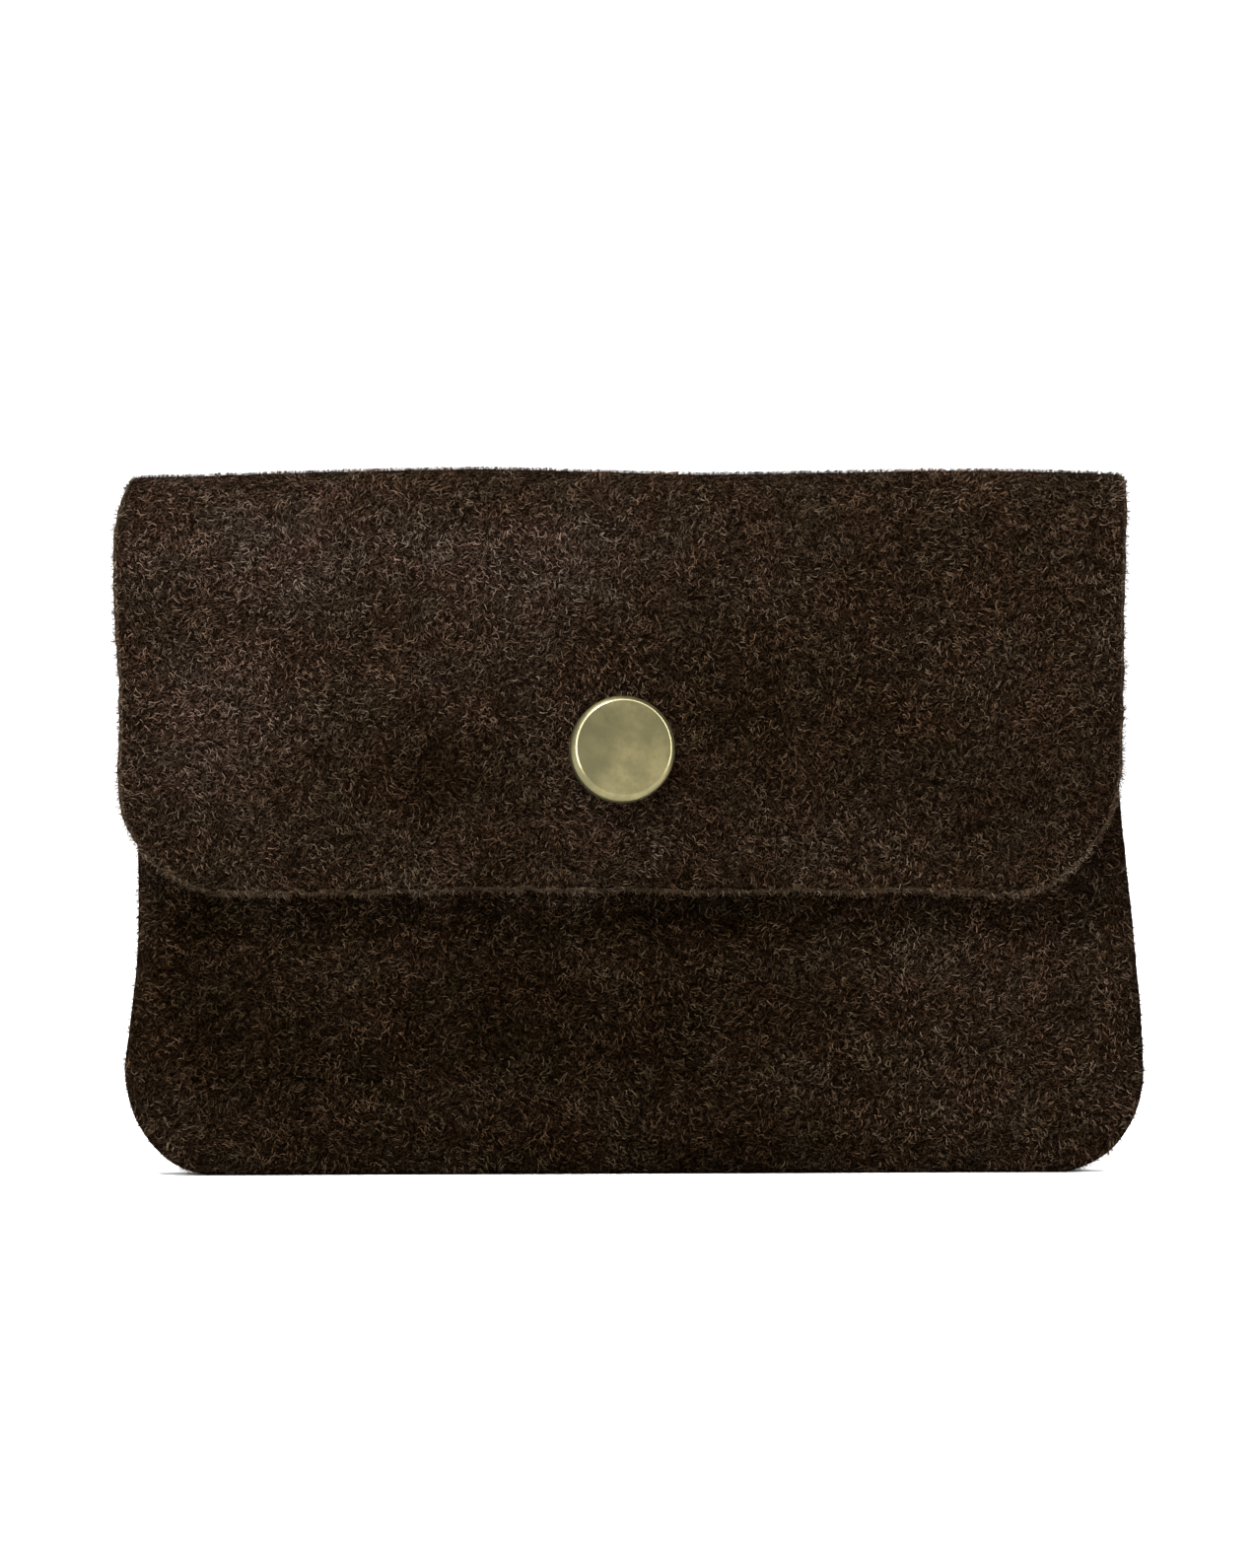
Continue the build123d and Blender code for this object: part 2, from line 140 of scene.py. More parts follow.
# ---- Outlines, as (x, height) from the top left, round the bottom, to the top right ---------------
# Heights past the top of the purse run on over the fold.
BODY_LEFT = [(15.5, -71.1), (22, -70.3), (30, -69.4), (48, -69.2), (75, -70.0), (92, -71.0), (98, -70.6),
             (104, -69.7), (110, -69.6)]
BODY_RIGHT = [(14.5, 74.7), (22, 74.3), (34, 73.2), (55, 71.1), (75, 70.3), (97, 71.0), (110, 71.0)]
FLAP_LEFT = [(56, -71.9), (62, -71.8), (70, -71.8), (80, -72.4), (90, -72.4), (95.5, -71.9), (100, -70.6),
             (104, -69.7), (110, -69.6)]
FLAP_RIGHT = [(60, 70.4), (66, 70.5), (78, 70.6), (97, 71.1), (110, 71.1)]


def corner(centre, radii, start, end, count=60):
    """Points along a part of an ellipse, between two angles in degrees."""
    angle = np.radians(np.linspace(start, end, count))
    return np.stack([centre[0] + radii[0] * np.cos(angle), centre[1] + radii[1] * np.sin(angle)], 1)


def u_outline(left, right, left_corner, right_corner, left_radii, right_radii, bottom, top):
    """A U-shaped outline: two sides, two elliptical corners and a nearly straight bottom."""
    z_left = np.linspace(top, left_corner[1], 200)
    z_right = np.linspace(right_corner[1], top, 200)
    x = np.linspace(left_corner[0], right_corner[0], 300)[1:-1]
    parts = [
        np.stack([hermite(left, z_left), z_left], 1),
        corner(left_corner, left_radii, 180, 270)[1:],
        np.stack([x, bottom(x)], 1),
        corner(right_corner, right_radii, 270, 360)[:-1],
        np.stack([hermite(right, z_right), z_right], 1),
    ]
    return np.concatenate(parts)


def body_outline(top):
    """The body's outline, up to the pattern height top."""
    left, right = (-58.6, 15.5), (62.2, 14.5)
    left_radii, right_radii = (12.5, left[1]), (12.5, right[1])
    return u_outline(BODY_LEFT, BODY_RIGHT, left, right, left_radii, right_radii, np.zeros_like, top)


def flap_outline(top):
    """The flap's outline, up to the pattern height top."""
    left, right = (-56.4, 56.0), (54.4, 60.0)

    def edge(x):
        """The height of the lower edge, uneven, with a drooping spot near its right end."""
        unevenness = 0.45 * smooth_noise(x, 0 * x, 16, 5) + 0.18 * smooth_noise(x, 0 * x, 4.5, 6)
        droop = 0.45 * np.exp(-(((x - 53) / 5) ** 2))
        return FLAP_LOW[2] + 0.35 + unevenness * ease(54 - abs(x), 0, 12) - droop

    foot = edge(np.array([left[0], right[0]]))
    left_radii, right_radii = (15.5, left[1] - foot[0]), (16.0, right[1] - foot[1])
    return u_outline(FLAP_LEFT, FLAP_RIGHT, left, right, left_radii, right_radii, edge, top)


def outward(path):
    """Unit normals that point out of a U-shaped outline."""
    tangent = np.gradient(path, axis=0)
    tangent /= np.linalg.norm(tangent, axis=1)[:, None]
    return np.stack([tangent[:, 1], -tangent[:, 0]], 1)


# ---- A leather sheet: a grid inside its outline, with rings of points round its edge --------------
FACE, INSIDE, CUT = 0, 1, 2  # the leather's material slots
INNER_PATTERN = 400  # how far to the right the inner face's pattern lies from the outer face's


def grid_cells(rows, columns):
    """The corners of each cell of a grid of points."""
    index = np.arange(rows * columns).reshape(rows, columns)
    return np.stack([index[:-1, :-1], index[1:, :-1], index[1:, 1:], index[:-1, 1:]], -1)


def strips_between(loops):
    """The strip of cells between each loop of points and the next."""
    return [np.stack([a[:-1], b[:-1], b[1:], a[1:]], -1) for a, b in zip(loops[:-1], loops[1:])]


class Sheet:
    """The flat layout of one sheet, in pattern coordinates: x, and the height as if it hung flat.

    The grid stops at an inset from the outline. Rings of points go on from its border, past the
    outline and round the edge. Row 0 of the grid is the top.
    """

    def __init__(self, outline, inset, step, rings):
        dense = resample(outline, 4000)
        normal = outward(dense)
        last = len(dense) - 1
        # the grid's lower corners sit half way round the rounded corners
        turned = np.flatnonzero(normal[:, 1] < -math.sqrt(0.5))
        left_turn, right_turn = turned[0], turned[-1]
        inner = dense - normal * inset
        run = np.linalg.norm(np.diff(inner, axis=0), axis=1)
        rows = int(run[:left_turn].sum() / step) + 1
        columns = int(run[left_turn:right_turn].sum() / step) + 1
        pick = np.concatenate([
            np.linspace(0, left_turn, rows),
            np.linspace(left_turn, right_turn, columns)[1:],
            np.linspace(right_turn, last, rows)[1:],
        ])
        self.border = np.stack([np.interp(pick, np.arange(last + 1), inner[:, k]) for k in (0, 1)], 1)
        self.normal = np.stack([np.interp(pick, np.arange(last + 1), normal[:, k]) for k in (0, 1)], 1)
        left = self.border[:rows, None]
        bottom = self.border[None, rows - 1 : rows - 1 + columns]
        right = self.border[rows - 2 + columns :][::-1, None]
        s = np.linspace(0, 1, columns)[None, :, None]
        t = np.linspace(0, 1, rows)[:, None, None]
        top = left[:1] * (1 - s) + right[:1] * s
        low = left[-1:] * (1 - s) + right[-1:] * s
        self.grid = (left * (1 - s) + right * s + (bottom - low) * t).reshape(-1, 2)
        self.rings = rings
        self.cells = grid_cells(rows, columns).reshape(-1, 4)
        index = np.arange(rows * columns).reshape(rows, columns)
        self.top_row = index[0]
        self.border_index = np.concatenate([index[:, 0], index[-1, 1:], index[-2::-1, -1]])
        around = len(self.border_index)
        self.loops = [self.border_index] + [index.size + k * around + np.arange(around) for k in range(rings)]

    def close(self, name, outer, inner, uv, cut_from, cut_above=-1.0, top_slot=CUT, flip=False):
        """The closed sheet, from its outer face's points (grid, then rings) and its inner face's (grid).

        The cut edge starts at ring cut_from, at heights over cut_above, and the last ring's strip is
        inner face. top_slot is the material slot of the sheet's end at row 0.
        """
        cells, row, loops, outer_count = self.cells, self.top_row, self.loops, len(outer)
        inside = self.border_index + outer_count
        strips = strips_between(loops + [inside])
        cap = np.stack([row[:-1], row[1:], row[1:] + outer_count, row[:-1] + outer_count], -1)
        fans = [(b[0], a[0], inside[0]) for a, b in zip(loops[:-1], loops[1:])]
        fans += [(a[-1], b[-1], inside[-1]) for a, b in zip(loops[:-1], loops[1:])]
        quads = [cells] + strips + [cap, cells[:, ::-1] + outer_count]
        cut = np.where(self.border[:-1, 1] > cut_above, CUT, FACE)
        slots = [np.full(len(cells), FACE)]
        slots += [np.where(k >= cut_from, cut, FACE) for k in range(self.rings)]
        slots += [np.full(len(cut), INSIDE), np.full(len(cap), top_slot), np.full(len(cells), INSIDE)]
        quads, fans = np.concatenate(quads), np.array(fans)
        if flip:
            quads, fans = quads[:, ::-1], fans[:, ::-1]
        slots = np.concatenate(slots + [np.full(len(fans), top_slot)])
        uv = np.concatenate([uv, uv[: len(self.grid)] + [INNER_PATTERN, 0]])
        return mesh_object(name, np.concatenate([outer, inner]), [quads, fans], uv, slots)

    def ring_uv(self, runs):
        """Pattern coordinates of the rings, where runs is each ring's distance from the border."""
        return [self.border + self.normal * run for run in runs]


def normals_of(points, faces):
    """Unit normals at the points of a quad mesh."""
    p = points[faces]
    n = np.cross(p[:, 2] - p[:, 0], p[:, 3] - p[:, 1])
    total = np.zeros_like(points)
    for k in range(4):
        np.add.at(total, faces[:, k], n)
    return total / np.maximum(np.linalg.norm(total, axis=1), 1e-12)[:, None]


def add_object(name, data):
    made = bpy.data.objects.new(name, data)
    bpy.context.scene.collection.objects.link(made)
    return made


def mesh_object(name, points, face_lists, uv=None, slots=None):
    """A smooth mesh from millimetre points. uv is millimetres too, and the UV map holds it in metres."""
    mesh = bpy.data.meshes.new(name)
    mesh.vertices.add(len(points))
    mesh.vertices.foreach_set("co", (np.asarray(points) * MM).astype(np.float32).ravel())
    flat = np.concatenate([np.asarray(f).ravel() for f in face_lists]).astype(np.int32)
    sizes = np.concatenate([np.full(len(f), np.asarray(f).shape[1]) for f in face_lists])
    mesh.loops.add(len(flat))
    mesh.loops.foreach_set("vertex_index", flat)
    mesh.polygons.add(len(sizes))
    mesh.polygons.foreach_set("loop_start", (np.cumsum(sizes) - sizes).astype(np.int32))
    mesh.polygons.foreach_set("use_smooth", np.ones(len(sizes), bool))
    if slots is not None:
        mesh.polygons.foreach_set("material_index", np.asarray(slots, np.int32))
    if uv is not None:
        layer = mesh.uv_layers.new(name="pattern")
        layer.data.foreach_set("uv", (np.asarray(uv)[flat] * MM).astype(np.float32).ravel())
    mesh.update(calc_edges=True)
    mesh.validate()
    return add_object(name, mesh)


# ---- The leather's shapes -------------------------------------------------------------------------
TURNED_RINGS = 22
TURNED_ANGLE = 0.92 * math.pi  # how far round the turned edge the leather goes before the seam
CUT_FROM = 0.7  # share of the rings that go out to the fold's edge; the rest go down its cut face
EDGE_INSET = 6.0  # how far in from the outline the turned edge starts to curve
EDGE_HEIGHT = 6.4  # half of the body's depth there
ROLL = 2.6  # height of the turned edge's outermost point above the seam
SEAM_DEPTH = 1.5  # how far the seam lies in the groove between the two rolls
NAP = 0.05  # height of the nap's clumps
CAP_TURN = (5.0, 4.0)  # degrees that the press stud's cap leans to the right and upwards
CAP_SHIFT = (0.16, 0.46)  # how far the pressed cap's face sits off its base, to the right and upwards
CAP_RAISE = 0.3  # how much higher the cap sits than its barrel
CAP_LEAN = 0.1  # how much lower the cap's face is for leaning
CAP_FACE = 6.70  # radius of the cap's face
CAP_SHOULDER = 1.05  # how far below the face the cap's wall ends
HAIR_STATIONS = 4  # places along a hair
HAIR_HALF_WIDTH = (0.042, 0.085)
HAIR_CURL = 2.4  # how far a hair turns along its length, in radians
HIDDEN_HAIRS = 0.4  # share of the hairs that there are where the shut flap hides the leather
STUD_DENT = 0.30  # how deep the leather is pressed in round the press stud's cap
FLAP_REST = 1.5  # how much nearer to the body the flap's edge hangs than its top
FLAP_BILLOW = 0.8  # how far the flap stands out between the press stud and its edges
# How much the top edge rises along the purse: (x, height)
TOP_WAVE = [(-73, -0.9), (-58, -0.5), (-40, 0.1), (-19, 0.45), (-4, 0.1), (10, -0.25), (30, 0.0), (52, 0.3),
            (66, -0.05), (73, -0.35)]


def waves(x, h, seed, broad=0.35, fine=0.12):
    """The soft unevenness of leather, in millimetres."""
    return broad * smooth_noise(x, h, 27, seed) + fine * smooth_noise(x, h, 9, seed + 1)


def nap(x, h):
    """The clumped nap of the suede, continuous over the whole pattern."""
    clumps = smooth_noise(x, h, 0.7, 11) + 0.7 * smooth_noise(x, h, 1.6, 12)
    return NAP * clumps


def calm_at_snap(x, h):
    """0 under the press stud, where its parts hold the leather flat, and 1 away from it."""
    return ease(np.hypot(x - SNAP[0], h - SNAP[1]), 6, 15)


def swell(x, h, outline, seed):
    """Half of the body's depth at a point of a panel."""
    coarse = outline[:: max(1, len(outline) // 400)]
    blocks = np.array_split(np.stack([x, h], 1), 60)
    inset = [np.linalg.norm(block[:, None] - coarse[None], axis=-1).min(1) for block in blocks]
    inset = np.concatenate(inset)
    full = HALF_DEPTH - EDGE_HEIGHT
    unevenness = waves(x, h, seed) * ease(inset, 0, 14) * calm_at_snap(x, h)
    return EDGE_HEIGHT + full * ease(inset, EDGE_INSET, 30) + unevenness


def turned_edge(sheet, height):
    """Rings round a turned edge: a list of (distance out, height over the seam plane, run)."""
    rings = []
    run = 0
    previous = (0.0, height)
    for k in range(1, sheet.rings + 1):
        turn = k / sheet.rings * TURNED_ANGLE
        if turn <= math.pi / 2:
            out, up = EDGE_INSET * math.sin(turn), ROLL + (height - ROLL) * math.cos(turn)
        else:
            back = (turn - math.pi / 2) / (TURNED_ANGLE - math.pi / 2) * math.pi / 2
            out = EDGE_INSET - SEAM_DEPTH * (1 - math.cos(back))
            up = ROLL * (1 - math.sin(back))
        up = up + np.zeros(len(sheet.border))
        run = run + math.hypot(float(np.mean(out - previous[0])), float(np.mean(up - previous[1])))
        rings.append((out, up, run))
        previous = (out, up)
    return rings


def front_panel():
    """The front of the body: it swells towards the middle and rolls round to the seam."""
    outline = body_outline(MOUTH_Z)
    sheet = Sheet(outline, EDGE_INSET, STEP, TURNED_RINGS)
    x, h = sheet.grid.T
    height = swell(x, h, outline, 31)
    rings = turned_edge(sheet, height[sheet.border_index])
    uv = [sheet.grid] + sheet.ring_uv([run for _, _, run in rings])
    outer = [np.stack([x, SEAM_Y - height, h], 1)]
    for out, up, _ in rings:
        at = sheet.border + sheet.normal * out
        outer.append(np.stack([at[:, 0], SEAM_Y - up, at[:, 1]], 1))
    outer, uv = np.concatenate(outer), np.concatenate(uv)
    inner = np.stack([x, SEAM_Y - height + SUEDE, h], 1)
    outer = raise_nap(sheet, outer, uv, 1)
    outer[:, 2] = np.maximum(outer[:, 2], 0.0)
    return sheet.close("front_suede", outer, inner, uv, sheet.rings + 1)


def raise_nap(sheet, outer, uv, side):
    """Moves the outer points along their normals by the nap. side is 1 for a face towards the front."""
    faces = np.concatenate([sheet.cells] + strips_between(sheet.loops))
    return outer + normals_of(outer, faces) * (side * nap(uv[:, 0], uv[:, 1]))[:, None]


def fold_angle(h):
    """How far the leather has turned over the mouth at a pattern height, in radians."""
    return np.clip((h - TOP_Z + FOLD_RADIUS) / FOLD_RADIUS, 0, math.pi / 2)


def over_the_fold(h, face, towards):
    """Depth and height of the leather's outer face where it turns over the mouth.

    face is the depth of the upright part, and towards is the way the leather turns: -1 or 1 in Y.
    """
    start = TOP_Z - FOLD_RADIUS
    angle = fold_angle(h)
    level = np.maximum(h - start - FOLD_RADIUS * math.pi / 2, 0)
    y = face + towards * (FOLD_RADIUS * (1 - np.cos(angle)) + level)
    z = np.minimum(h, start) + FOLD_RADIUS * np.sin(angle)
    return y, z


def fold_end(face):
    """The pattern height of the fold's middle line."""
    level = abs(FOLD_MIDDLE - face) - FOLD_RADIUS
    return TOP_Z - FOLD_RADIUS + FOLD_RADIUS * math.pi / 2 + level


def top_wave(x, z):
    """How far the top edge rises and falls along the purse."""
    return hermite(TOP_WAVE, x) * ease(z, 80, TOP_Z)


def rear_and_fold():
    """The back panel, and the leather that goes on from it over the mouth to the middle of the fold."""
    end = fold_end(REAR_FACE)
    outline = body_outline(end)
    sheet = Sheet(outline, EDGE_INSET, STEP, TURNED_RINGS)
    # far longer, so that the swell doesn't end at the top of the pattern
    closing = body_outline(end + 40)

    def place(x, h, below):
        """Points that lie below the outer face, from pattern coordinates."""
        y, z = over_the_fold(h, REAR_FACE, -1)
        angle = fold_angle(h)
        y, z = y - below * np.cos(angle), z - below * np.sin(angle)
        return np.stack([x, y, z + top_wave(x, z)], 1)

    def sink(x, h, height):
        """How far the face lies under its flat position; the swell ends above the mouth."""
        return (HALF_DEPTH - height) * (1 - ease(h, MOUTH_Z - 8, MOUTH_Z + 6))

    x, h = sheet.grid.T
    height = swell(x, h, closing, 41)
    border_height = height[sheet.border_index]
    rings = turned_edge(sheet, border_height)
    uv = np.concatenate([sheet.grid] + sheet.ring_uv([run for _, _, run in rings]))
    # the pattern runs on from the flap's, over the fold and down the back
    uv[:, 1] = end + fold_end(FLAP_FACE) - uv[:, 1]
    outer = [place(x, h, sink(x, h, height))]
    for number, (out, up, _) in enumerate(rings):
        flat = ease(sheet.border[:, 1], MOUTH_Z - 6, MOUTH_Z + 5)
        turn = (number + 1) / sheet.rings
        cut_out = EDGE_INSET * min(turn / CUT_FROM, 1)
        cut_below = SUEDE * max(0, (turn - CUT_FROM) / (1 - CUT_FROM))
        spread = out * (1 - flat) + cut_out * flat
        below = (HALF_DEPTH - up) * (1 - flat) + cut_below * flat
        at = sheet.border + sheet.normal * spread[:, None]
        outer.append(place(at[:, 0], at[:, 1], below))
    inner = place(x, h, sink(x, h, height) + SUEDE)
    outer = raise_nap(sheet, np.concatenate(outer), uv, -1)
    outer[:, 2] = np.maximum(outer[:, 2], 0.0)
    cut_from = int(CUT_FROM * sheet.rings)
    return sheet.close("rear_suede", outer, inner, uv, cut_from, MOUTH_Z, INSIDE, flip=True)


def flap_sheet():
    """The other half of the fold and the flap, with its raw cut edge."""
    # each ring of the rounded cut edge: how far out from the border, and how far below the face
    steps = [(0.36, 0.10), (0.70, 0.30), (0.88, 0.56), (0.92, 0.80), (0.90, 1.02), (0.82, 1.22),
             (0.55, 1.36)]
    sheet = Sheet(flap_outline(fold_end(FLAP_FACE)), 0.9, STEP, len(steps))

    def place(x, h, below):
        """Points that lie below the outer face, from pattern coordinates."""
        y, z = over_the_fold(h, FLAP_FACE, 1)
        angle = fold_angle(h)
        hanging = 1 - ease(h, TOP_Z - FOLD_RADIUS - 8, TOP_Z - FOLD_RADIUS + 4)
        from_snap = np.hypot(x - SNAP[0], h - SNAP[1])
        towards_body = FLAP_REST * ease(62 - h, 0, 21)
        billow = FLAP_BILLOW * (1 - np.exp(-((from_snap / 19) ** 2))) * ease(h, 42, 60)
        dent = STUD_DENT * np.exp(-(((from_snap - 8) / 2.6) ** 2))
        unevenness = waves(x, h, 21, 0.45, 0.14) * ease(h, 38, 52) * calm_at_snap(x, h)
        shape = towards_body - billow + dent + unevenness
        y = y + hanging * shape + below * np.cos(angle)
        z = z - below * np.sin(angle)
        return np.stack([x, y, z + top_wave(x, z)], 1)

    x, h = sheet.grid.T
    outer = [place(x, h, np.zeros_like(x))]
    # the sides are cut cleaner than the lower edge
    rough = 0.4 + 0.6 * ease(-sheet.normal[:, 1], 0.1, 0.8)
    for number, (out, below) in enumerate(steps):
        ragged = 0.22 * smooth_noise(sheet.border[:, 0], sheet.border[:, 1] + 7 * number, 0.7, 51)
        ragged = ragged + 0.24 * smooth_noise(sheet.border[:, 0], sheet.border[:, 1], 1.9, 52)
        at = sheet.border + sheet.normal * (out + ragged * rough)[:, None]
        outer.append(place(at[:, 0], at[:, 1], below + np.zeros(len(at))))
    uv = np.concatenate([sheet.grid] + sheet.ring_uv([out + below for out, below in steps]))
    inner = place(x, h, np.full_like(x, SUEDE))
    outer = raise_nap(sheet, np.concatenate(outer), uv, 1)
    return sheet.close("flap_suede", outer, inner, uv, 1, top_slot=INSIDE)


def quads_of(leather, slot):
    """The corners and the pattern coordinates of a piece's four-sided faces of one slot."""
    mesh = leather.data
    co = np.empty(len(mesh.vertices) * 3, np.float32)
    mesh.vertices.foreach_get("co", co)
    corners = np.empty(len(mesh.loops), np.int32)
    mesh.loops.foreach_get("vertex_index", corners)
    uv = np.empty(len(mesh.loops) * 2, np.float32)
    mesh.uv_layers["pattern"].data.foreach_get("uv", uv)
    start, total, slots = (np.empty(len(mesh.polygons), np.int32) for _ in range(3))
    mesh.polygons.foreach_get("loop_start", start)
    mesh.polygons.foreach_get("loop_total", total)
    mesh.polygons.foreach_get("material_index", slots)
    loops = start[(total == 4) & (slots == slot), None] + np.arange(4)
    return co.reshape(-1, 3)[corners[loops]].astype(float) / MM, uv.reshape(-1, 2)[loops].astype(float) / MM


def unit(vectors):
    return vectors / np.maximum(np.linalg.norm(vectors, axis=1), 1e-9)[:, None]


def brush_angle(x, h):
    """The way the nap lies, in radians from the pattern's x axis."""
    return 2.8 * smooth_noise(x, h, 11, 71) + 2.0 * smooth_noise(x, h, 3.0, 72)


def loose_hairs(name, leather, slot, density, seed, length, lift, spread=0.6, sparse_above=math.inf):
    """Short curled hairs over the faces of one slot of a leather piece, as thin tapered ribbons.

    density is hairs per square millimetre, and lift is how far they stand off, in millimetres. Above
    sparse_above the flap hides the leather when it is shut, and there are fewer hairs.
    """
    rng = np.random.RandomState(seed)
    p, uv = quads_of(leather, slot)
    across = np.cross(p[:, 2] - p[:, 0], p[:, 3] - p[:, 1])
    area = np.linalg.norm(across, axis=1) / 2
    tuft = 1 + 0.2 * smooth_noise(uv[:, 0, 0], uv[:, 0, 1], 1.2, 73)
    weight = area * density * tuft * np.where(uv[:, 0, 1] > sparse_above, HIDDEN_HAIRS, 1.0)
    count = int(weight.sum() * (1.0))
    chosen = rng.choice(len(p), count, p=weight / weight.sum())
    p, uv, normal = p[chosen], uv[chosen], unit(across[chosen])
    s, t = rng.uniform(0, 1, (2, count, 1))
    root, root_uv = ((q[:, 0] * (1 - s) + q[:, 1] * s) * (1 - t) + (q[:, 3] * (1 - s) + q[:, 2] * s) * t
                     for q in (p, uv))
    # the pattern's x axis on the leather, and the way its height grows
    e1, e2, d1, d2 = p[:, 1] - p[:, 0], p[:, 3] - p[:, 0], uv[:, 1] - uv[:, 0], uv[:, 3] - uv[:, 0]
    sign = np.sign(d1[:, 0] * d2[:, 1] - d1[:, 1] * d2[:, 0])[:, None]
    level = unit(sign * (e1 * d2[:, 1:] - e2 * d1[:, 1:]))
    level = unit(level - normal * (level * normal).sum(1)[:, None])
    rise_way = np.cross(normal, level) * sign
    angle = brush_angle(root_uv[:, 0], root_uv[:, 1]) + rng.normal(0, spread, count)
    bend = rng.normal(0, HAIR_CURL, count)
    size, rise, half = (rng.uniform(*limits, count) for limits in (length, lift, HAIR_HALF_WIDTH))
    place, points = root.copy(), []
    for k in range(HAIR_STATIONS):
        along = k / (HAIR_STATIONS - 1)
        turn = (angle + bend * along)[:, None]
        way = level * np.cos(turn) + rise_way * np.sin(turn)
        wide = rise_way * np.cos(turn) - level * np.sin(turn)
        up = normal * (rise * math.sin(math.pi * (0.05 + 0.60 * along)))[:, None]
        ribbon = wide * (half * (1 - 0.7 * along))[:, None]
        points += [place + up - ribbon, place + up + ribbon]
        place = place + way * (size / (HAIR_STATIONS - 1))[:, None]
    points = np.stack(points, 1).reshape(-1, 3)
    first = np.arange(count)[:, None] * 2 * HAIR_STATIONS
    faces = [first + [2 * k, 2 * k + 1, 2 * k + 3, 2 * k + 2] for k in range(HAIR_STATIONS - 1)]
    points[:, 2] = np.maximum(points[:, 2], 0.0)
    return mesh_object(name, points, [np.concatenate(faces)], np.repeat(root_uv, 2 * HAIR_STATIONS, axis=0))


def thick_grid(name, x, h, front, back, kept=None):
    """A closed cloth between two depths over a grid, with holes where cells aren't kept."""
    rows, columns = x.shape
    cells = grid_cells(rows, columns)
    cells = cells.reshape(-1, 4) if kept is None else cells[kept]
    edges = np.concatenate([cells[:, [k, (k + 1) % 4]] for k in range(4)])
    keys = edges.min(1) * rows * columns + edges.max(1)
    _, first, times = np.unique(keys, return_index=True, return_counts=True)
    rim = edges[first[times == 1]]
    size = rows * columns
    sides = np.stack([rim[:, 1], rim[:, 0], rim[:, 0] + size, rim[:, 1] + size], 1)
    faces = np.concatenate([cells, cells[:, ::-1] + size, sides])
    used, faces = np.unique(faces, return_inverse=True)
    points = np.concatenate([np.stack([x, y, h], -1).reshape(-1, 3) for y in (front, back)])[used]
    return mesh_object(name, points, [faces.reshape(-1, 4)])


def lines(*stops, step=1.5):
    """Grid lines through every stop, about one step apart."""
    spans = []
    for a, b in zip(stops, stops[1:]):
        count = max(int(round((b - a) / step)), 1)
        spans.append(np.linspace(a, b, count + 1)[:-1])
    return np.concatenate(spans + [[stops[-1]]])


def lining_limits(h):
    """The lining's left and right edge at a height, with its round lower corners."""
    low = LINING_LOW[2]
    lift = np.clip(1 - (h - low) / LINING_CORNER, 0, 1)
    tuck = LINING_CORNER * (1 - np.sqrt(1 - lift**2))
    return LINING_LOW[0] + tuck + 1.6 * ease(h, 10, 45), LINING_HIGH[0] - tuck - 2.2 * ease(h, 10, 50)


def lining_half(name, face, edge, top, window, seed):
    """One half of the lining bag: a cloth that curves from its face's depth to the side seam's.

    window is the zip's opening: left and right as shares of the width, then bottom and top.
    """
    x_stops = [0, 1] if window is None else [0, *window[:2], 1]
    h_stops = [LINING_LOW[2], top] if window is None else [LINING_LOW[2], *window[2:], top]
    across = lines(*x_stops, step=0.010)
    h = lines(*h_stops)[::-1, None]
    left, right = lining_limits(h)
    x = left + across * (right - left)
    inset = np.minimum(np.minimum(x - left, right - x), h - LINING_LOW[2])
    curve = np.sqrt(1 - (1 - np.clip(inset / 2.4, 0, 1)) ** 2)
    slack = 0.45 * smooth_noise(x, h, 13, seed) + 0.16 * smooth_noise(x, h * 0.6, 4, seed + 1)
    # the zip holds the cloth flatter
    slack = slack * ease(inset, 0, 8) * (1 - 0.8 * ease(h, 78, 84))
    h = h + np.zeros_like(x)
    y = edge + (face - edge) * curve + slack - 0.45 * np.sign(face - edge)
    front, back = y, y - CLOTH * np.sign(face - edge)
    if face > edge:
        front, back = back, front
    kept = None
    if window is not None:
        mid_x, mid_h = (across[:-1] + across[1:]) / 2, (h[:-1, 0] + h[1:, 0]) / 2
        in_x = (mid_x > window[0]) & (mid_x < window[1])
        in_h = (mid_h > window[2]) & (mid_h < window[3])
        kept = ~(in_h[:, None] & in_x[None])
    return thick_grid(name, x, h, front, back, kept)


def pocket_bag():
    """The coin pocket's bag, behind the zip: two cloths that meet round its edge."""
    low, high = box_mm("pocket_bag")
    x, h = np.meshgrid(lines(low[0], high[0]), lines(low[2], TAPE_TOP)[::-1])
    inset = np.minimum(np.minimum(x - low[0], high[0] - x), np.minimum(h - low[2], TAPE_TOP - h))
    bulge = np.sqrt(1 - (1 - np.clip(inset / 3, 0, 1)) ** 2)
    leather = SEAM_Y + swell(x.ravel(), h.ravel(), body_outline(TOP_Z + 30), 41).reshape(x.shape) - SUEDE
    back = np.minimum(high[1], leather - 0.3) + 0.15 * smooth_noise(x, h, 8, 81) - 0.15
    front = low[1] + 0.15
    middle = front + (back - front) * 0.3
    front, back = middle + (front - middle) * bulge, middle + (back - middle) * bulge + 0.05
    return thick_grid("pocket_lining", x, h, front, back)


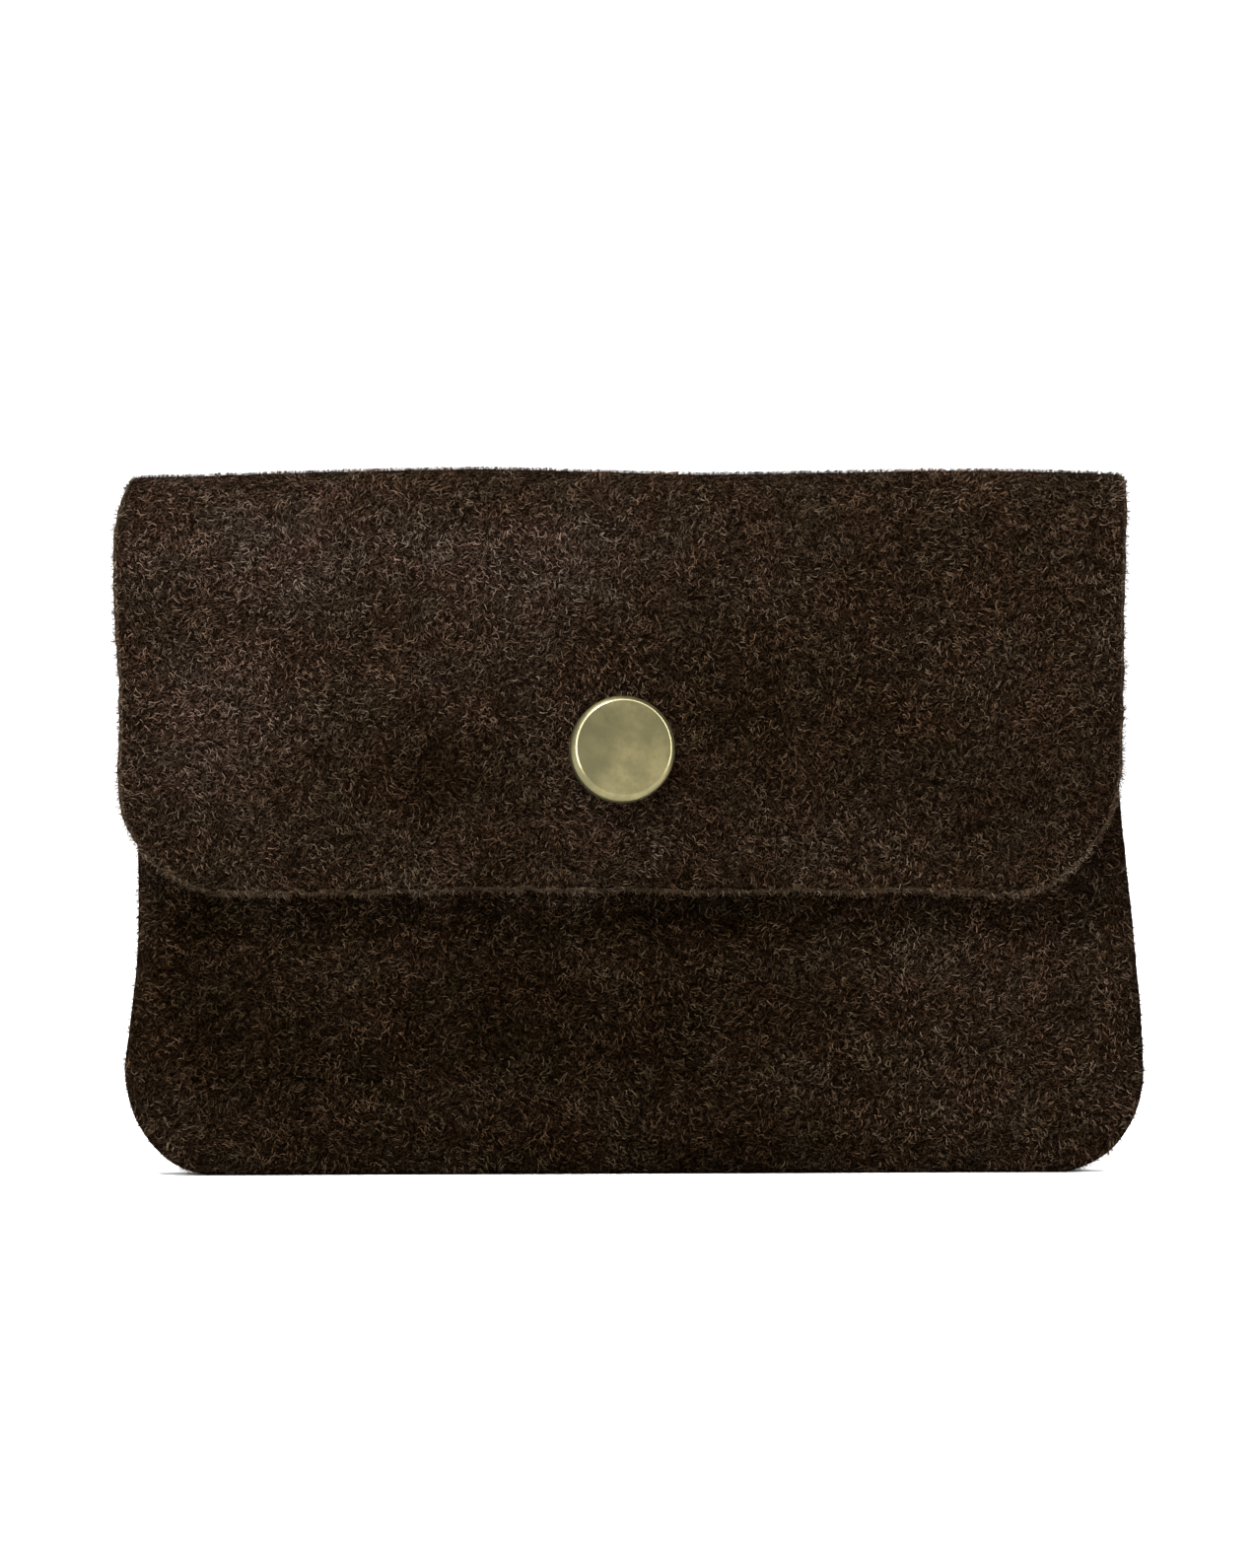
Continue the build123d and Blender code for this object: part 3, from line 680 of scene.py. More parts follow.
def zip_tape(name, node, cord_side):
    """A woven tape, a little wavy, with a raised cord along the edge that carries the teeth."""
    low, high = box_mm(node)
    x, h = np.meshgrid(lines(low[0], high[0]), lines(low[2], high[2], step=0.35)[::-1])
    edge = high[2] if cord_side > 0 else low[2]
    cord = 0.22 * np.exp(-(((h - edge + cord_side * 0.45) / 0.35) ** 2))
    wave = 0.05 * smooth_noise(x, h, 9, 91) * ease(abs(h - edge), 1, 4)
    front, back = low[1] + wave - cord, high[1] + wave + cord
    return thick_grid(name, x, h, front, back)


def tube_faces(rings, sides):
    """The faces between neighbouring rings of points."""
    k, a = np.meshgrid(np.arange(rings - 1) * sides, np.arange(sides), indexing="ij")
    b = (a + 1) % sides
    return np.stack([k + a, k + sides + a, k + sides + b, k + b], -1).reshape(-1, 4)


def stitches(name, middles, length):
    """A row of stitches along x: each one a thread that rises from the leather and dives back in."""
    stations, sides, radius = 9, 8, 0.21
    t = np.linspace(-1, 1, stations)
    angle = np.linspace(0, 2 * math.pi, sides, endpoint=False)
    swell_of = radius * np.sqrt(np.clip(1 - 0.9 * t**6, 0, 1))
    ring = np.stack([
        np.repeat(t * length / 2, sides),
        np.repeat(0.38 * t**4 - 0.12, sides) + np.outer(swell_of, np.sin(angle)).ravel(),
        np.outer(swell_of, np.cos(angle)).ravel() + np.repeat(0.06 * t, sides),
    ], 1)
    points = np.concatenate([ring + m for m in middles])
    around = np.arange(sides)
    ends = np.stack([around[::-1], (stations - 1) * sides + around])
    shift = np.arange(len(middles))[:, None, None] * stations * sides
    tube = tube_faces(stations, sides) + shift
    return mesh_object(name, points, [tube.reshape(-1, 4), (ends + shift).reshape(-1, sides)])


def mouth_stitches():
    """The stitches along the front panel's top edge."""
    low, high = box_mm("mouth_thread")
    count, length = 41, 2.4
    x = np.linspace(low[0] + length / 2, high[0] - length / 2, count)
    h = np.full(count, (low[2] + high[2]) / 2)
    y = SEAM_Y - swell(x, h, body_outline(MOUTH_Z), 31)
    return stitches("mouth_stitches", np.stack([x, y, h], 1), length)


def softened(node, width):
    """A copy of a CAD node's mesh with its hard edges rounded."""
    work = bmesh.new()
    work.from_mesh(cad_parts[node].data)
    bmesh.ops.remove_doubles(work, verts=work.verts, dist=1e-6)
    bmesh.ops.dissolve_limit(work, angle_limit=math.radians(1), verts=work.verts, edges=work.edges)
    for face in work.faces:
        face.smooth = True
    mesh = bpy.data.meshes.new(node + "_rounded")
    work.to_mesh(mesh)
    work.free()
    piece = add_object(node + "_rounded", mesh)
    bevel = piece.modifiers.new("rounding", "BEVEL")
    bevel.width, bevel.segments = width * MM, 2
    bevel.limit_method, bevel.angle_limit = "ANGLE", math.radians(32)
    bevel.harden_normals = True
    return piece


def lathe(name, profile, sides, place, turn, shift):
    """A solid of revolution from (radius, height) points, its axis turned and set at place.

    shift is how far its top is off its base's axis.
    """
    angle = np.linspace(0, 2 * math.pi, sides, endpoint=False)
    circle = np.stack([np.cos(angle), np.sin(angle), 0 * angle], 1)
    rings = [circle * r + [0, 0, z] for r, z in profile if r > 0]
    ends = [[[0, 0, profile[0][1]]], [[0, 0, profile[-1][1]]]]
    points = np.concatenate(rings + ends)
    around = np.arange(sides)
    after = (around + 1) % sides
    first = len(rings) * sides
    base = first - sides
    fans = [np.stack([after, around, np.full(sides, first)], 1),
            np.stack([base + around, base + after, np.full(sides, first + 1)], 1)]
    disc = points[:, :2].copy()
    points[:, :2] += np.outer(points[:, 2] / points[:, 2].max(), shift)
    points = points @ np.array(turn).T + place
    return mesh_object(name, points, [tube_faces(len(rings), sides)[:, ::-1], np.concatenate(fans)], disc)


def press_stud_cap():
    """The brass cap: a nearly flat face, a sloping shoulder and a short wall, a little askew."""
    radius = (CAP_HIGH[0] - CAP_LOW[0]) / 2
    height = FLAP_FACE - CAP_LOW[1] - CAP_LEAN
    wall = height - CAP_SHOULDER
    profile = [(0, 0.0), (radius - 0.5, 0.0), (radius - 0.12, 0.08), (radius, 0.3), (radius, wall)]
    shoulder = np.linspace(0, 1, 9)[1:]
    profile += [(radius - 0.62 * t**1.4, wall + 0.74 * t**0.9) for t in shoulder]
    # the tight rounding between the shoulder and the face
    rounding = np.linspace(0.35, 1, 7)[1:] * math.pi / 2
    profile += [(CAP_FACE + 0.16 * math.cos(t), height - 0.36 + 0.16 * math.sin(t)) for t in rounding]
    # the face is a very shallow dome
    profile += [(CAP_FACE * k, height - 0.20 * k * k) for k in (0.97, 0.9, 0.8, 0.65, 0.45, 0.2)]
    profile += [(0, height)]
    right, up = (math.radians(turned) for turned in CAP_TURN)
    axis = np.array([math.sin(right), -math.cos(right) * math.cos(up), math.sin(up) * math.cos(right)])
    across = np.cross([0, 0, 1], axis)
    across /= np.linalg.norm(across)
    turn = np.stack([across, np.cross(axis, across), axis], 1)
    foot = np.array([SNAP[0], FLAP_FACE, SNAP[1] + CAP_RAISE]) - axis * 0.2
    return lathe("press_stud_cap", profile, 144, foot, turn, CAP_SHIFT)


# ---- Materials --------------------------------------------------------------------------------------
GROUND, HAIR_WARM, HAIR_COOL = (4, 2, 1), (42, 30, 21), (40, 31, 22)  # sRGB
FIBRE_LENGTH, FIBRE_PITCH, FIBRE_WIDTH = 1.2, 0.40, 0.20  # the hairs that lie flat on the leather
BRASS_PALE, BRASS_MIDDLE, BRASS_DARK = (100.3, 93.2, 64.3), (81.8, 76.8, 51.8), (64.3, 62.1, 42)  # sRGB
BRASS_ROUGHNESS = 0.26  # where the patina is smoothest


class Shader:
    """One node material, with short ways to add and join its nodes."""

    def __init__(self, name):
        self.material = bpy.data.materials.new(name)
        self.material.use_nodes = True
        self.tree = self.material.node_tree
        self.tree.nodes.clear()

    def node(self, kind, inputs=None, **settings):
        made = self.tree.nodes.new("ShaderNode" + kind)
        for key, value in settings.items():
            setattr(made, key, value)
        for key, value in (inputs or {}).items():
            self.feed(made.inputs[key], value)
        return made

    def feed(self, socket, value):
        if isinstance(value, bpy.types.NodeSocket):
            self.tree.links.new(value, socket)
        else:
            socket.default_value = value

    def math(self, operation, a, b=0.0, c=0.0):
        made = self.node("Math", operation=operation)
        for socket, value in zip(made.inputs, (a, b, c)):
            self.feed(socket, value)
        return made.outputs[0]

    def plus(self, a, b):
        return self.math("ADD", a, b)

    def minus(self, a, b):
        return self.math("SUBTRACT", a, b)

    def times(self, a, b, more=0.0):
        """a times b, plus more."""
        return self.math("MULTIPLY_ADD", a, b, more)

    def vector(self, operation, a, b=(0, 0, 0)):
        made = self.node("VectorMath", operation=operation)
        self.feed(made.inputs[0], a)
        self.feed(made.inputs[1], b)
        return made.outputs[0]

    def scale(self, a, factor):
        made = self.node("VectorMath", operation="SCALE")
        self.feed(made.inputs[0], a)
        self.feed(made.inputs[3], factor)
        return made.outputs[0]

    def ramp(self, value, low, high):
        """0 where value is low, 1 where it is high, and smooth between them."""
        made = self.node("MapRange", interpolation_type="SMOOTHSTEP")
        for key, number in (("Value", value), ("From Min", low), ("From Max", high)):
            self.feed(made.inputs[key], number)
        return made.outputs[0]

    def place(self):
        """Where a point lies in its object's space, in metres."""
        return self.node("TexCoord").outputs["Object"]

    def bump(self, height, strength, distance):
        return self.node("Bump", {"Height": height, "Strength": strength, "Distance": distance}).outputs[0]

    def split(self, vector):
        return self.node("SeparateXYZ", {"Vector": vector}).outputs

    def noise(self, vector, scale, detail=2.0, rough=0.5, kind="3D", out="Fac"):
        inputs = {"Vector": vector, "Scale": scale, "Detail": detail, "Roughness": rough}
        return self.node("TexNoise", inputs, noise_dimensions=kind).outputs[out]

    def mix(self, factor, a, b, blend="MIX"):
        made = self.node("Mix", data_type="RGBA", blend_type=blend)
        self.feed(made.inputs["Factor"], factor)
        self.feed(made.inputs[6], a)
        self.feed(made.inputs[7], b)
        return made.outputs[2]

    def finish(self, **inputs):
        """The principled shader and the output; names use _ for the space in a socket's name."""
        shader = self.node("BsdfPrincipled")
        for key, value in inputs.items():
            self.feed(shader.inputs[key.replace("_", " ")], value)
        out = self.node("OutputMaterial")
        self.tree.links.new(shader.outputs[0], out.inputs[0])
        return self.material


def srgb(red, green, blue):
    """A linear colour from sRGB values of 0 to 255."""
    shares = [value / 255 for value in (red, green, blue)]
    return (*(c / 12.92 if c <= 0.04045 else ((c + 0.055) / 1.055) ** 2.4 for c in shares), 1.0)


def fibres(sh, pattern, patch, seed):
    """One layer of curled hairs lying on the leather: each hair's height, from 0 to 1.

    The hairs of one patch lie roughly the same way. All sizes are millimetres, as pattern is.
    """
    at = sh.vector("ADD", pattern, (seed * 31.7, seed * 13.9, 0))
    wander = sh.noise(at, 0.9, 2.0, 0.5, "2D", out="Color")
    at = sh.vector("ADD", at, sh.scale(sh.vector("SUBTRACT", wander, (0.5, 0.5, 0.5)), 0.9))
    group = sh.node("TexVoronoi", {"Vector": at, "Scale": 1 / patch}, voronoi_dimensions="2D")
    chance = sh.node("SeparateColor", {"Color": group.outputs["Color"]})
    brushed_way = sh.noise(group.outputs["Position"], 0.6, 0.0, 0.5, "2D")
    angle = sh.times(sh.minus(brushed_way, 0.5), 9.0, sh.times(sh.minus(chance.outputs[0], 0.5), 2.2))
    place = sh.vector("SUBTRACT", at, sh.scale(group.outputs["Position"], patch))
    turned = sh.node("VectorRotate", {"Vector": place, "Angle": angle}, rotation_type="Z_AXIS").outputs[0]
    cell = sh.vector("MULTIPLY", turned, (1 / FIBRE_LENGTH, 1 / FIBRE_PITCH, 0))
    cell = sh.vector("ADD", cell, sh.scale(group.outputs["Color"], 40.0))
    hair = sh.node("TexVoronoi", {"Vector": cell, "Scale": 1.0}, voronoi_dimensions="2D")
    along, across = sh.split(sh.vector("SUBTRACT", cell, hair.outputs["Position"]))[:2]
    luck = sh.node("SeparateColor", {"Color": hair.outputs["Color"]})
    bend = sh.times(sh.minus(luck.outputs[1], 0.5), 6.0)
    slant = sh.times(sh.minus(luck.outputs[0], 0.5), 1.6)
    across = sh.times(sh.times(along, bend, slant), along, across)
    body = sh.ramp(sh.math("ABSOLUTE", across), FIBRE_WIDTH, 0.0)
    reach = sh.ramp(sh.math("ABSOLUTE", along), 0.52, 0.30)
    shade = sh.times(luck.outputs[2], 0.75, 0.25)
    return sh.times(sh.times(body, reach), shade)


# Where brushing lifts the nap lighter or presses it darker, and painted light and shade: (x, height,
# half-width, half-height, strength)
NAP_PATCHES_AND_PAINTED_SHADE = [
    # lighter towards the upper left: partly brushing of the nap, partly painted light from above on the left
    (-50, 90, 26, 10, 0.42), (-14, 87, 22, 9, 0.34), (-60, 66, 16, 16, 0.30), (-34, 70, 18, 10, 0.08),
    (-26, 58, 12, 8, -0.26), (18, 66, 22, 14, -0.24), (50, 64, 18, 16, -0.14), (50, 89, 20, 10, -0.16),
    # painted shade over the lower body, below the flap
    (-34, 20, 32, 18, -0.36), (-62, 24, 10, 16, -0.26), (56, 22, 16, 20, -0.06), (8, 20, 30, 18, -0.33),
    # a painted shadow band just under the flap's edge, and painted shade along the bottom
    (0, 37, 70, 5, -0.30), (0, 3, 70, 5, -0.26),
]


def nap_patches_and_painted_shade(sh, pattern):
    """The sum of the soft patches in NAP_PATCHES_AND_PAINTED_SHADE, nap patches and painted light and shade,
    with ragged outlines.
    """
    ragged = sh.noise(pattern, 0.11, 3.0, 0.6, "2D", out="Color")
    place = sh.vector("ADD", pattern, sh.scale(sh.vector("SUBTRACT", ragged, (0.5, 0.5, 0.5)), 16))
    total = 0.0
    for x, h, half_width, half_height, strength in NAP_PATCHES_AND_PAINTED_SHADE:
        away = sh.vector("SUBTRACT", place, (x, h, 0))
        away = sh.vector("MULTIPLY", away, (1 / half_width, 1 / half_height, 0))
        length = sh.node("VectorMath", {0: away}, operation="LENGTH").outputs["Value"]
        total = sh.times(sh.ramp(length, 1.5, 0.0), strength, total)
    return total


def tone_over_pattern(sh, pattern):
    """How light the nap is over the leather: broad patches, soft clumps, the places where brushing lifts or
    presses the nap, and painted light and shade: lighter at the upper left, darker over the lower body, under
    the flap's edge and along the bottom.
    """
    clumps = sh.noise(pattern, 0.35, 3.0, 0.6, "2D")
    broad = sh.noise(pattern, 0.045, 2.0, 0.5, "2D")
    tone = sh.times(sh.minus(broad, 0.5), 0.35, 1.0)
    tone = sh.times(sh.minus(clumps, 0.5), 0.3, tone)
    # adds the nap patches and the painted light and shade
    tone = sh.math("MAXIMUM", sh.plus(tone, nap_patches_and_painted_shade(sh, pattern)), 0.25)
    # the darker the nap, the redder
    red, green, blue = (sh.math("POWER", tone, power) for power in (1.5, 1.65, 2.2))
    return sh.node("CombineColor", {"Red": red, "Green": green, "Blue": blue}).outputs[0]


def warmth_over_pattern(sh, pattern, cool, warm):
    """The hairs' colour, a little redder in some places than in others."""
    place = sh.noise(sh.vector("ADD", pattern, (70, 30, 0)), 0.12, 2.0, 0.5, "2D")
    return sh.mix(sh.ramp(place, 0.35, 0.65), srgb(*cool), srgb(*warm))


def suede_material(name, hair=1.0):
    """Dark brown suede: layers of short curled hairs over a darker ground, lighter and darker with brushing
    and with painted light and shade.
    """
    sh = Shader(name)
    pattern = sh.scale(sh.node("UVMap", uv_map="pattern").outputs[0], 1 / MM)
    height = 0.0
    for number, patch in enumerate((2.3, 2.9, 3.7, 2.6)):
        height = sh.math("MAXIMUM", height, fibres(sh, pattern, patch, number + 1))
    fuzz = sh.noise(pattern, 5.0, 2.0, 0.6, "2D")
    height = sh.times(fuzz, 0.22 * hair, height)
    hairs_colour = warmth_over_pattern(sh, pattern, HAIR_COOL, HAIR_WARM)
    colour = sh.mix(sh.ramp(height, 0.30, 1.0), srgb(*GROUND), hairs_colour)
    # the nap's own patches and the painted light and shade multiply the colour
    colour = sh.mix(1.0, colour, tone_over_pattern(sh, pattern), "MULTIPLY")
    bump = sh.bump(height, 1.0 * hair, 0.00025)
    return sh.finish(Base_Color=colour, Roughness=0.95, Normal=bump, Specular_IOR_Level=0.0)


def hair_material(name, dark, pale, cool, warm):
    """Loose hairs: each one's shade is between dark and pale times the leather's colour."""
    sh = Shader(name)
    root = sh.node("UVMap", uv_map="pattern").outputs[0]
    pattern = sh.scale(root, 1 / MM)
    chance = sh.node("TexWhiteNoise", {"Vector": root}, noise_dimensions="2D").outputs["Value"]
    shade = sh.times(sh.math("POWER", chance, 2.2), pale - dark, dark)
    colour = warmth_over_pattern(sh, pattern, cool, warm)
    # the same nap patches and painted light and shade as on the leather
    colour = sh.mix(1.0, colour, tone_over_pattern(sh, pattern), "MULTIPLY")
    # the paler a hair, the less red it is
    tint = {"Red": shade, "Green": sh.math("POWER", shade, 1.12), "Blue": sh.math("POWER", shade, 1.25)}
    colour = sh.mix(1.0, colour, sh.node("CombineColor", tint).outputs[0], "MULTIPLY")
    return sh.finish(Base_Color=colour, Roughness=0.8, Specular_IOR_Level=0.01)


def cut_edge_material():
    """The raw cut edge: close fibres, greyer than the face."""
    sh = Shader("suede_cut_edge")
    place = sh.place()
    fine = sh.noise(place, 2600, 3.0, 0.65)
    broad = sh.noise(place, 420, 3.0, 0.6)
    colour = sh.mix(sh.ramp(fine, 0.3, 0.7), srgb(14, 10, 7), srgb(44, 35, 26))
    colour = sh.mix(sh.times(sh.ramp(broad, 0.40, 0.62), 0.85), colour, srgb(18, 13, 8))
    bump = sh.bump(fine, 0.7, 0.0002)
    return sh.finish(Base_Color=colour, Roughness=0.95, Normal=bump, Specular_IOR_Level=0.0)


def brass_material(name, rim=None):
    """Antique brass: a brown-green patina, abraded brighter in places, with fine scratches.

    rim is the radius, in millimetres, of a cap's painted highlight: a bright line round the edge of its face.
    """
    sh = Shader(name)
    place = sh.place()
    cloudy = sh.noise(place, 260, 4.0, 0.6)
    mottle = sh.noise(place, 1500, 3.0, 0.65)
    scratch = sh.noise(sh.vector("MULTIPLY", place, (1.0, 1.0, 0.12)), 6000, 2.0, 0.7)
    colour = sh.mix(sh.ramp(cloudy, 0.35, 0.68), srgb(*BRASS_MIDDLE), srgb(*BRASS_PALE))
    colour = sh.mix(sh.times(sh.ramp(mottle, 0.5, 0.75), 0.35), colour, srgb(*BRASS_DARK))
    gloss = sh.times(mottle, 0.22, BRASS_ROUGHNESS)
    if rim:
        disc = sh.scale(sh.node("UVMap", uv_map="pattern").outputs[0], 1 / MM)
        side, height = sh.split(disc)[:2]
        # painted shade and reflection: the face is darker towards its left, and the painted highlight on the
        # rim fades out towards the bottom, away from the lights
        shaded = sh.times(sh.ramp(sh.plus(side, sh.times(cloudy, 3.0)), 1.0, -3.5), 0.6)
        colour = sh.mix(shaded, colour, srgb(*BRASS_DARK))
        radius = sh.node("VectorMath", {0: disc}, operation="LENGTH").outputs["Value"]
        painted_highlight = sh.ramp(sh.math("ABSOLUTE", sh.minus(radius, rim)), 0.15, 0.04)
        highlight_fade = sh.ramp(sh.plus(height, sh.times(mottle, 3.0)), -3.0, 1.5)
        painted_highlight = sh.times(painted_highlight, highlight_fade)
        # painted highlight: the line round the rim mixed to bright brass, and a little smoother there
        colour = sh.mix(painted_highlight, colour, srgb(214, 202, 156))
        gloss = sh.times(painted_highlight, -0.15, gloss)
    relief = sh.times(scratch, 0.4, mottle)
    bump = sh.bump(relief, 0.25, 0.00003)
    return sh.finish(Base_Color=colour, Metallic=0.85, Roughness=gloss, Normal=bump)


def weave_material(name, dark, pale, pitch=0.0005, twill=False):
    """Woven cloth: crossing threads, in the plane of the purse's front."""
    sh = Shader(name)
    place = sh.place()
    x, _, z = sh.split(place)
    turn = 2 * math.pi / pitch
    across = sh.math("SINE", sh.times(x, turn))
    rise = sh.plus(z, x) if twill else z
    up = sh.math("SINE", sh.times(rise, turn))
    threads = sh.times(sh.times(across, up), 0.5, 0.5)
    slub = sh.noise(sh.vector("MULTIPLY", place, (1, 1, 6)), 300, 3.0, 0.6)
    mixed = sh.times(slub, 0.6, sh.times(threads, 0.6))
    colour = sh.mix(sh.ramp(mixed, 0.2, 0.95), srgb(*dark), srgb(*pale))
    bump = sh.bump(threads, 0.6, 0.0001)
    return sh.finish(Base_Color=colour, Roughness=0.85, Normal=bump, Specular_IOR_Level=0.1,
                     Sheen_Weight=0.08, Sheen_Roughness=0.4)


def thread_material():
    """Sewing thread: two twisted plies."""
    sh = Shader("sewing_thread")
    place = sh.place()
    x, _, z = sh.split(place)
    slant = sh.plus(x, z)
    ply = sh.math("SINE", sh.times(slant, 2 * math.pi / 0.0004))
    fuzz = sh.noise(place, 3000, 2.0, 0.6)
    colour = sh.mix(sh.ramp(sh.times(fuzz, 0.7, ply), -0.6, 1.3), srgb(30, 21, 14), srgb(78, 60, 44))
    bump = sh.bump(ply, 0.5, 0.00008)
    return sh.finish(Base_Color=colour, Roughness=0.6, Normal=bump, Specular_IOR_Level=0.4)


def steel_material():
    """Drawn spring wire."""
    sh = Shader("spring_steel")
    place = sh.place()
    drawn = sh.noise(sh.vector("MULTIPLY", place, (1, 1, 0.05)), 9000, 2.0, 0.6)
    colour = sh.mix(drawn, srgb(150, 148, 142), srgb(200, 198, 190))
    return sh.finish(Base_Color=colour, Metallic=1.0, Roughness=sh.times(drawn, 0.25, 0.2))


# ---- Stage, light and camera ---------------------------------------------------------------------
def stage():
    """A pale floor that curves up into a backdrop."""
    span, back, rise, bend = 4000.0, 1500.0, 2600.0, 500.0
    arc = [(back + bend * math.sin(a), bend - bend * math.cos(a)) for a in np.linspace(0, math.pi / 2, 16)]
    profile = [(-span, 0.0), (-300.0, 0.0), (300.0, 0.0)] + arc + [(back + bend, rise)]
    points = [(side * span, y, z) for y, z in profile for side in (-1, 1)]
    faces = [(2 * k, 2 * k + 1, 2 * k + 3, 2 * k + 2) for k in range(len(profile) - 1)]
    floor = mesh_object("floor", points, [faces])
    sh = Shader("floor_white")
    place = sh.place()
    faint = sh.noise(place, 3, 2.0, 0.5)
    colour = sh.mix(faint, (0.90, 0.90, 0.90, 1), (0.93, 0.93, 0.93, 1))
    floor.data.materials.append(sh.finish(Base_Color=colour, Roughness=0.9, Specular_IOR_Level=0.1))


LIGHTS = [  # name, place, width and height, power
    ("overhead", (-0.28, -0.52, 1.02), (0.40, 0.30), 58),
    ("left", (-0.95, -0.55, 0.35), (0.16, 0.9), 5),
    ("right", (0.95, -0.45, 0.35), (0.16, 0.9), 5),
    ("behind", (0.45, 0.85, 0.75), (0.8, 0.6), 17),
]
LIGHT_AIM = (0, 0, 0.05)


def area_light(name, place, size, power):
    data = bpy.data.lights.new(name, "AREA")
    data.shape, data.size, data.size_y = "RECTANGLE", size[0], size[1]
    data.energy = power
    light = add_object(name, data)
    light.location = place
    light.rotation_euler = (Vector(LIGHT_AIM) - Vector(place)).to_track_quat("-Z", "Y").to_euler()


def lights():
    """A white studio: soft light all round, a light overhead, a tall one at each side and one behind."""
    world = bpy.data.worlds.new("studio")
    bpy.context.scene.world = world
    world.use_nodes = True
    background = world.node_tree.nodes["Background"]
    background.inputs["Color"].default_value = (1, 1, 1, 1)
    background.inputs["Strength"].default_value = 1.0
    for light in LIGHTS:
        area_light(*light)


SENSOR = 36  # the camera's sensor
CAMERA_DISTANCE = 1150.0
CAMERA_TURN = (-3.0, 1.5)  # azimuth and elevation in degrees
FRAME_HEIGHT = 221.8  # how much of the flap's plane the picture's height shows
FRAME_MIDDLE = 55.9  # height at the picture's middle


def camera():
    """A long lens in front of the purse, as in a product picture."""
    data = bpy.data.cameras.new("camera")
    data.sensor_width = SENSOR
    data.lens = SENSOR * CAMERA_DISTANCE / FRAME_HEIGHT
    data.clip_start, data.clip_end = 0.05, 50
    a, e = (math.radians(turn) for turn in CAMERA_TURN)
    back = Vector((math.sin(a) * math.cos(e), -math.cos(a) * math.cos(e), math.sin(e)))
    aim = Vector((0, FLAP_FACE, FRAME_MIDDLE))
    cam = add_object("camera", data)
    cam.location = (aim + back * CAMERA_DISTANCE) * MM
    cam.rotation_euler = (-back).to_track_quat("-Z", "Y").to_euler()
    bpy.context.scene.camera = cam
    bpy.context.scene.view_settings.view_transform = "Standard"


# ---- Putting the pieces together --------------------------------------------------------------------
camera()
lights()
stage()

suede = suede_material("suede")
suede_inside = suede_material("suede_inside", hair=0.6)
hair = hair_material("suede_hair", 0.16, 2.75, HAIR_COOL, HAIR_WARM)
body_hair = hair_material("suede_body_hair", 0.12, 3.1, HAIR_COOL, HAIR_WARM)
edge_hair = hair_material("suede_edge_hair", 0.2, 2.9, (50, 40, 31), (50, 39, 29))
cut_edge = cut_edge_material()
brass = brass_material("antique_brass")
cap_brass = brass_material("antique_brass_cap", rim=CAP_FACE + 0.08)
lining_cloth = weave_material("lining_cloth", (24, 17, 12), (58, 45, 34))
tape_cloth = weave_material("zip_tape_cloth", (20, 14, 10), (50, 38, 29), 0.0007, twill=True)
thread = thread_material()
steel = steel_material()

front = front_panel()
rear = rear_and_fold()
flap = flap_sheet()
for piece in (front, rear, flap):
    for material in (suede, suede_inside, cut_edge):
        piece.data.materials.append(material)

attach(front, "root")
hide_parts("front_panel")


def bend_at_rear(piece):
    """Bakes the piece's placement into its mesh; the piece is not bent."""
    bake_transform(piece)


def bend_at_front(piece):
    """Bakes the piece's placement into its mesh; the piece is not bent."""
    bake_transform(piece)


bend_at_rear(rear)
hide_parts("rear_panel", "fold_strip")
bend_at_front(flap)
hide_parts("flap")

FACE_NAP = {"length": (0.45, 1.15), "lift": (0.14, 0.55)}
FRONT_NAP = {**FACE_NAP, "sparse_above": FLAP_LOW[2] + 4}
EDGE_NAP = {"length": (0.4, 1.15), "lift": (0.15, 0.65), "spread": 1.5}
HAIRS = [  # name, leather and its slot, hairs per square millimetre, seed, nap, material, bend
    ("front_hairs", front, FACE, 3.3, 61, FRONT_NAP, body_hair, None),
    ("rear_hairs", rear, FACE, 1.9, 62, FACE_NAP, hair, bend_at_rear),
    ("rear_edge_hairs", rear, CUT, 6.0, 64, EDGE_NAP, edge_hair, bend_at_rear),
    ("flap_hairs", flap, FACE, 3.5, 63, FACE_NAP, hair, bend_at_front),
    ("flap_edge_hairs", flap, CUT, 8.0, 65, EDGE_NAP, edge_hair, bend_at_front),
]
for name, leather, slot, density, seed, look, material, bend in HAIRS:
    piece = loose_hairs(name, leather, slot, density, seed, **look)
    piece.data.materials.append(material)
    if bend:
        bend(piece)
    else:
        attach(piece, "root")

cap = press_stud_cap()
cap.data.materials.append(cap_brass)
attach(cap, "flap")
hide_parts("snap_cap")

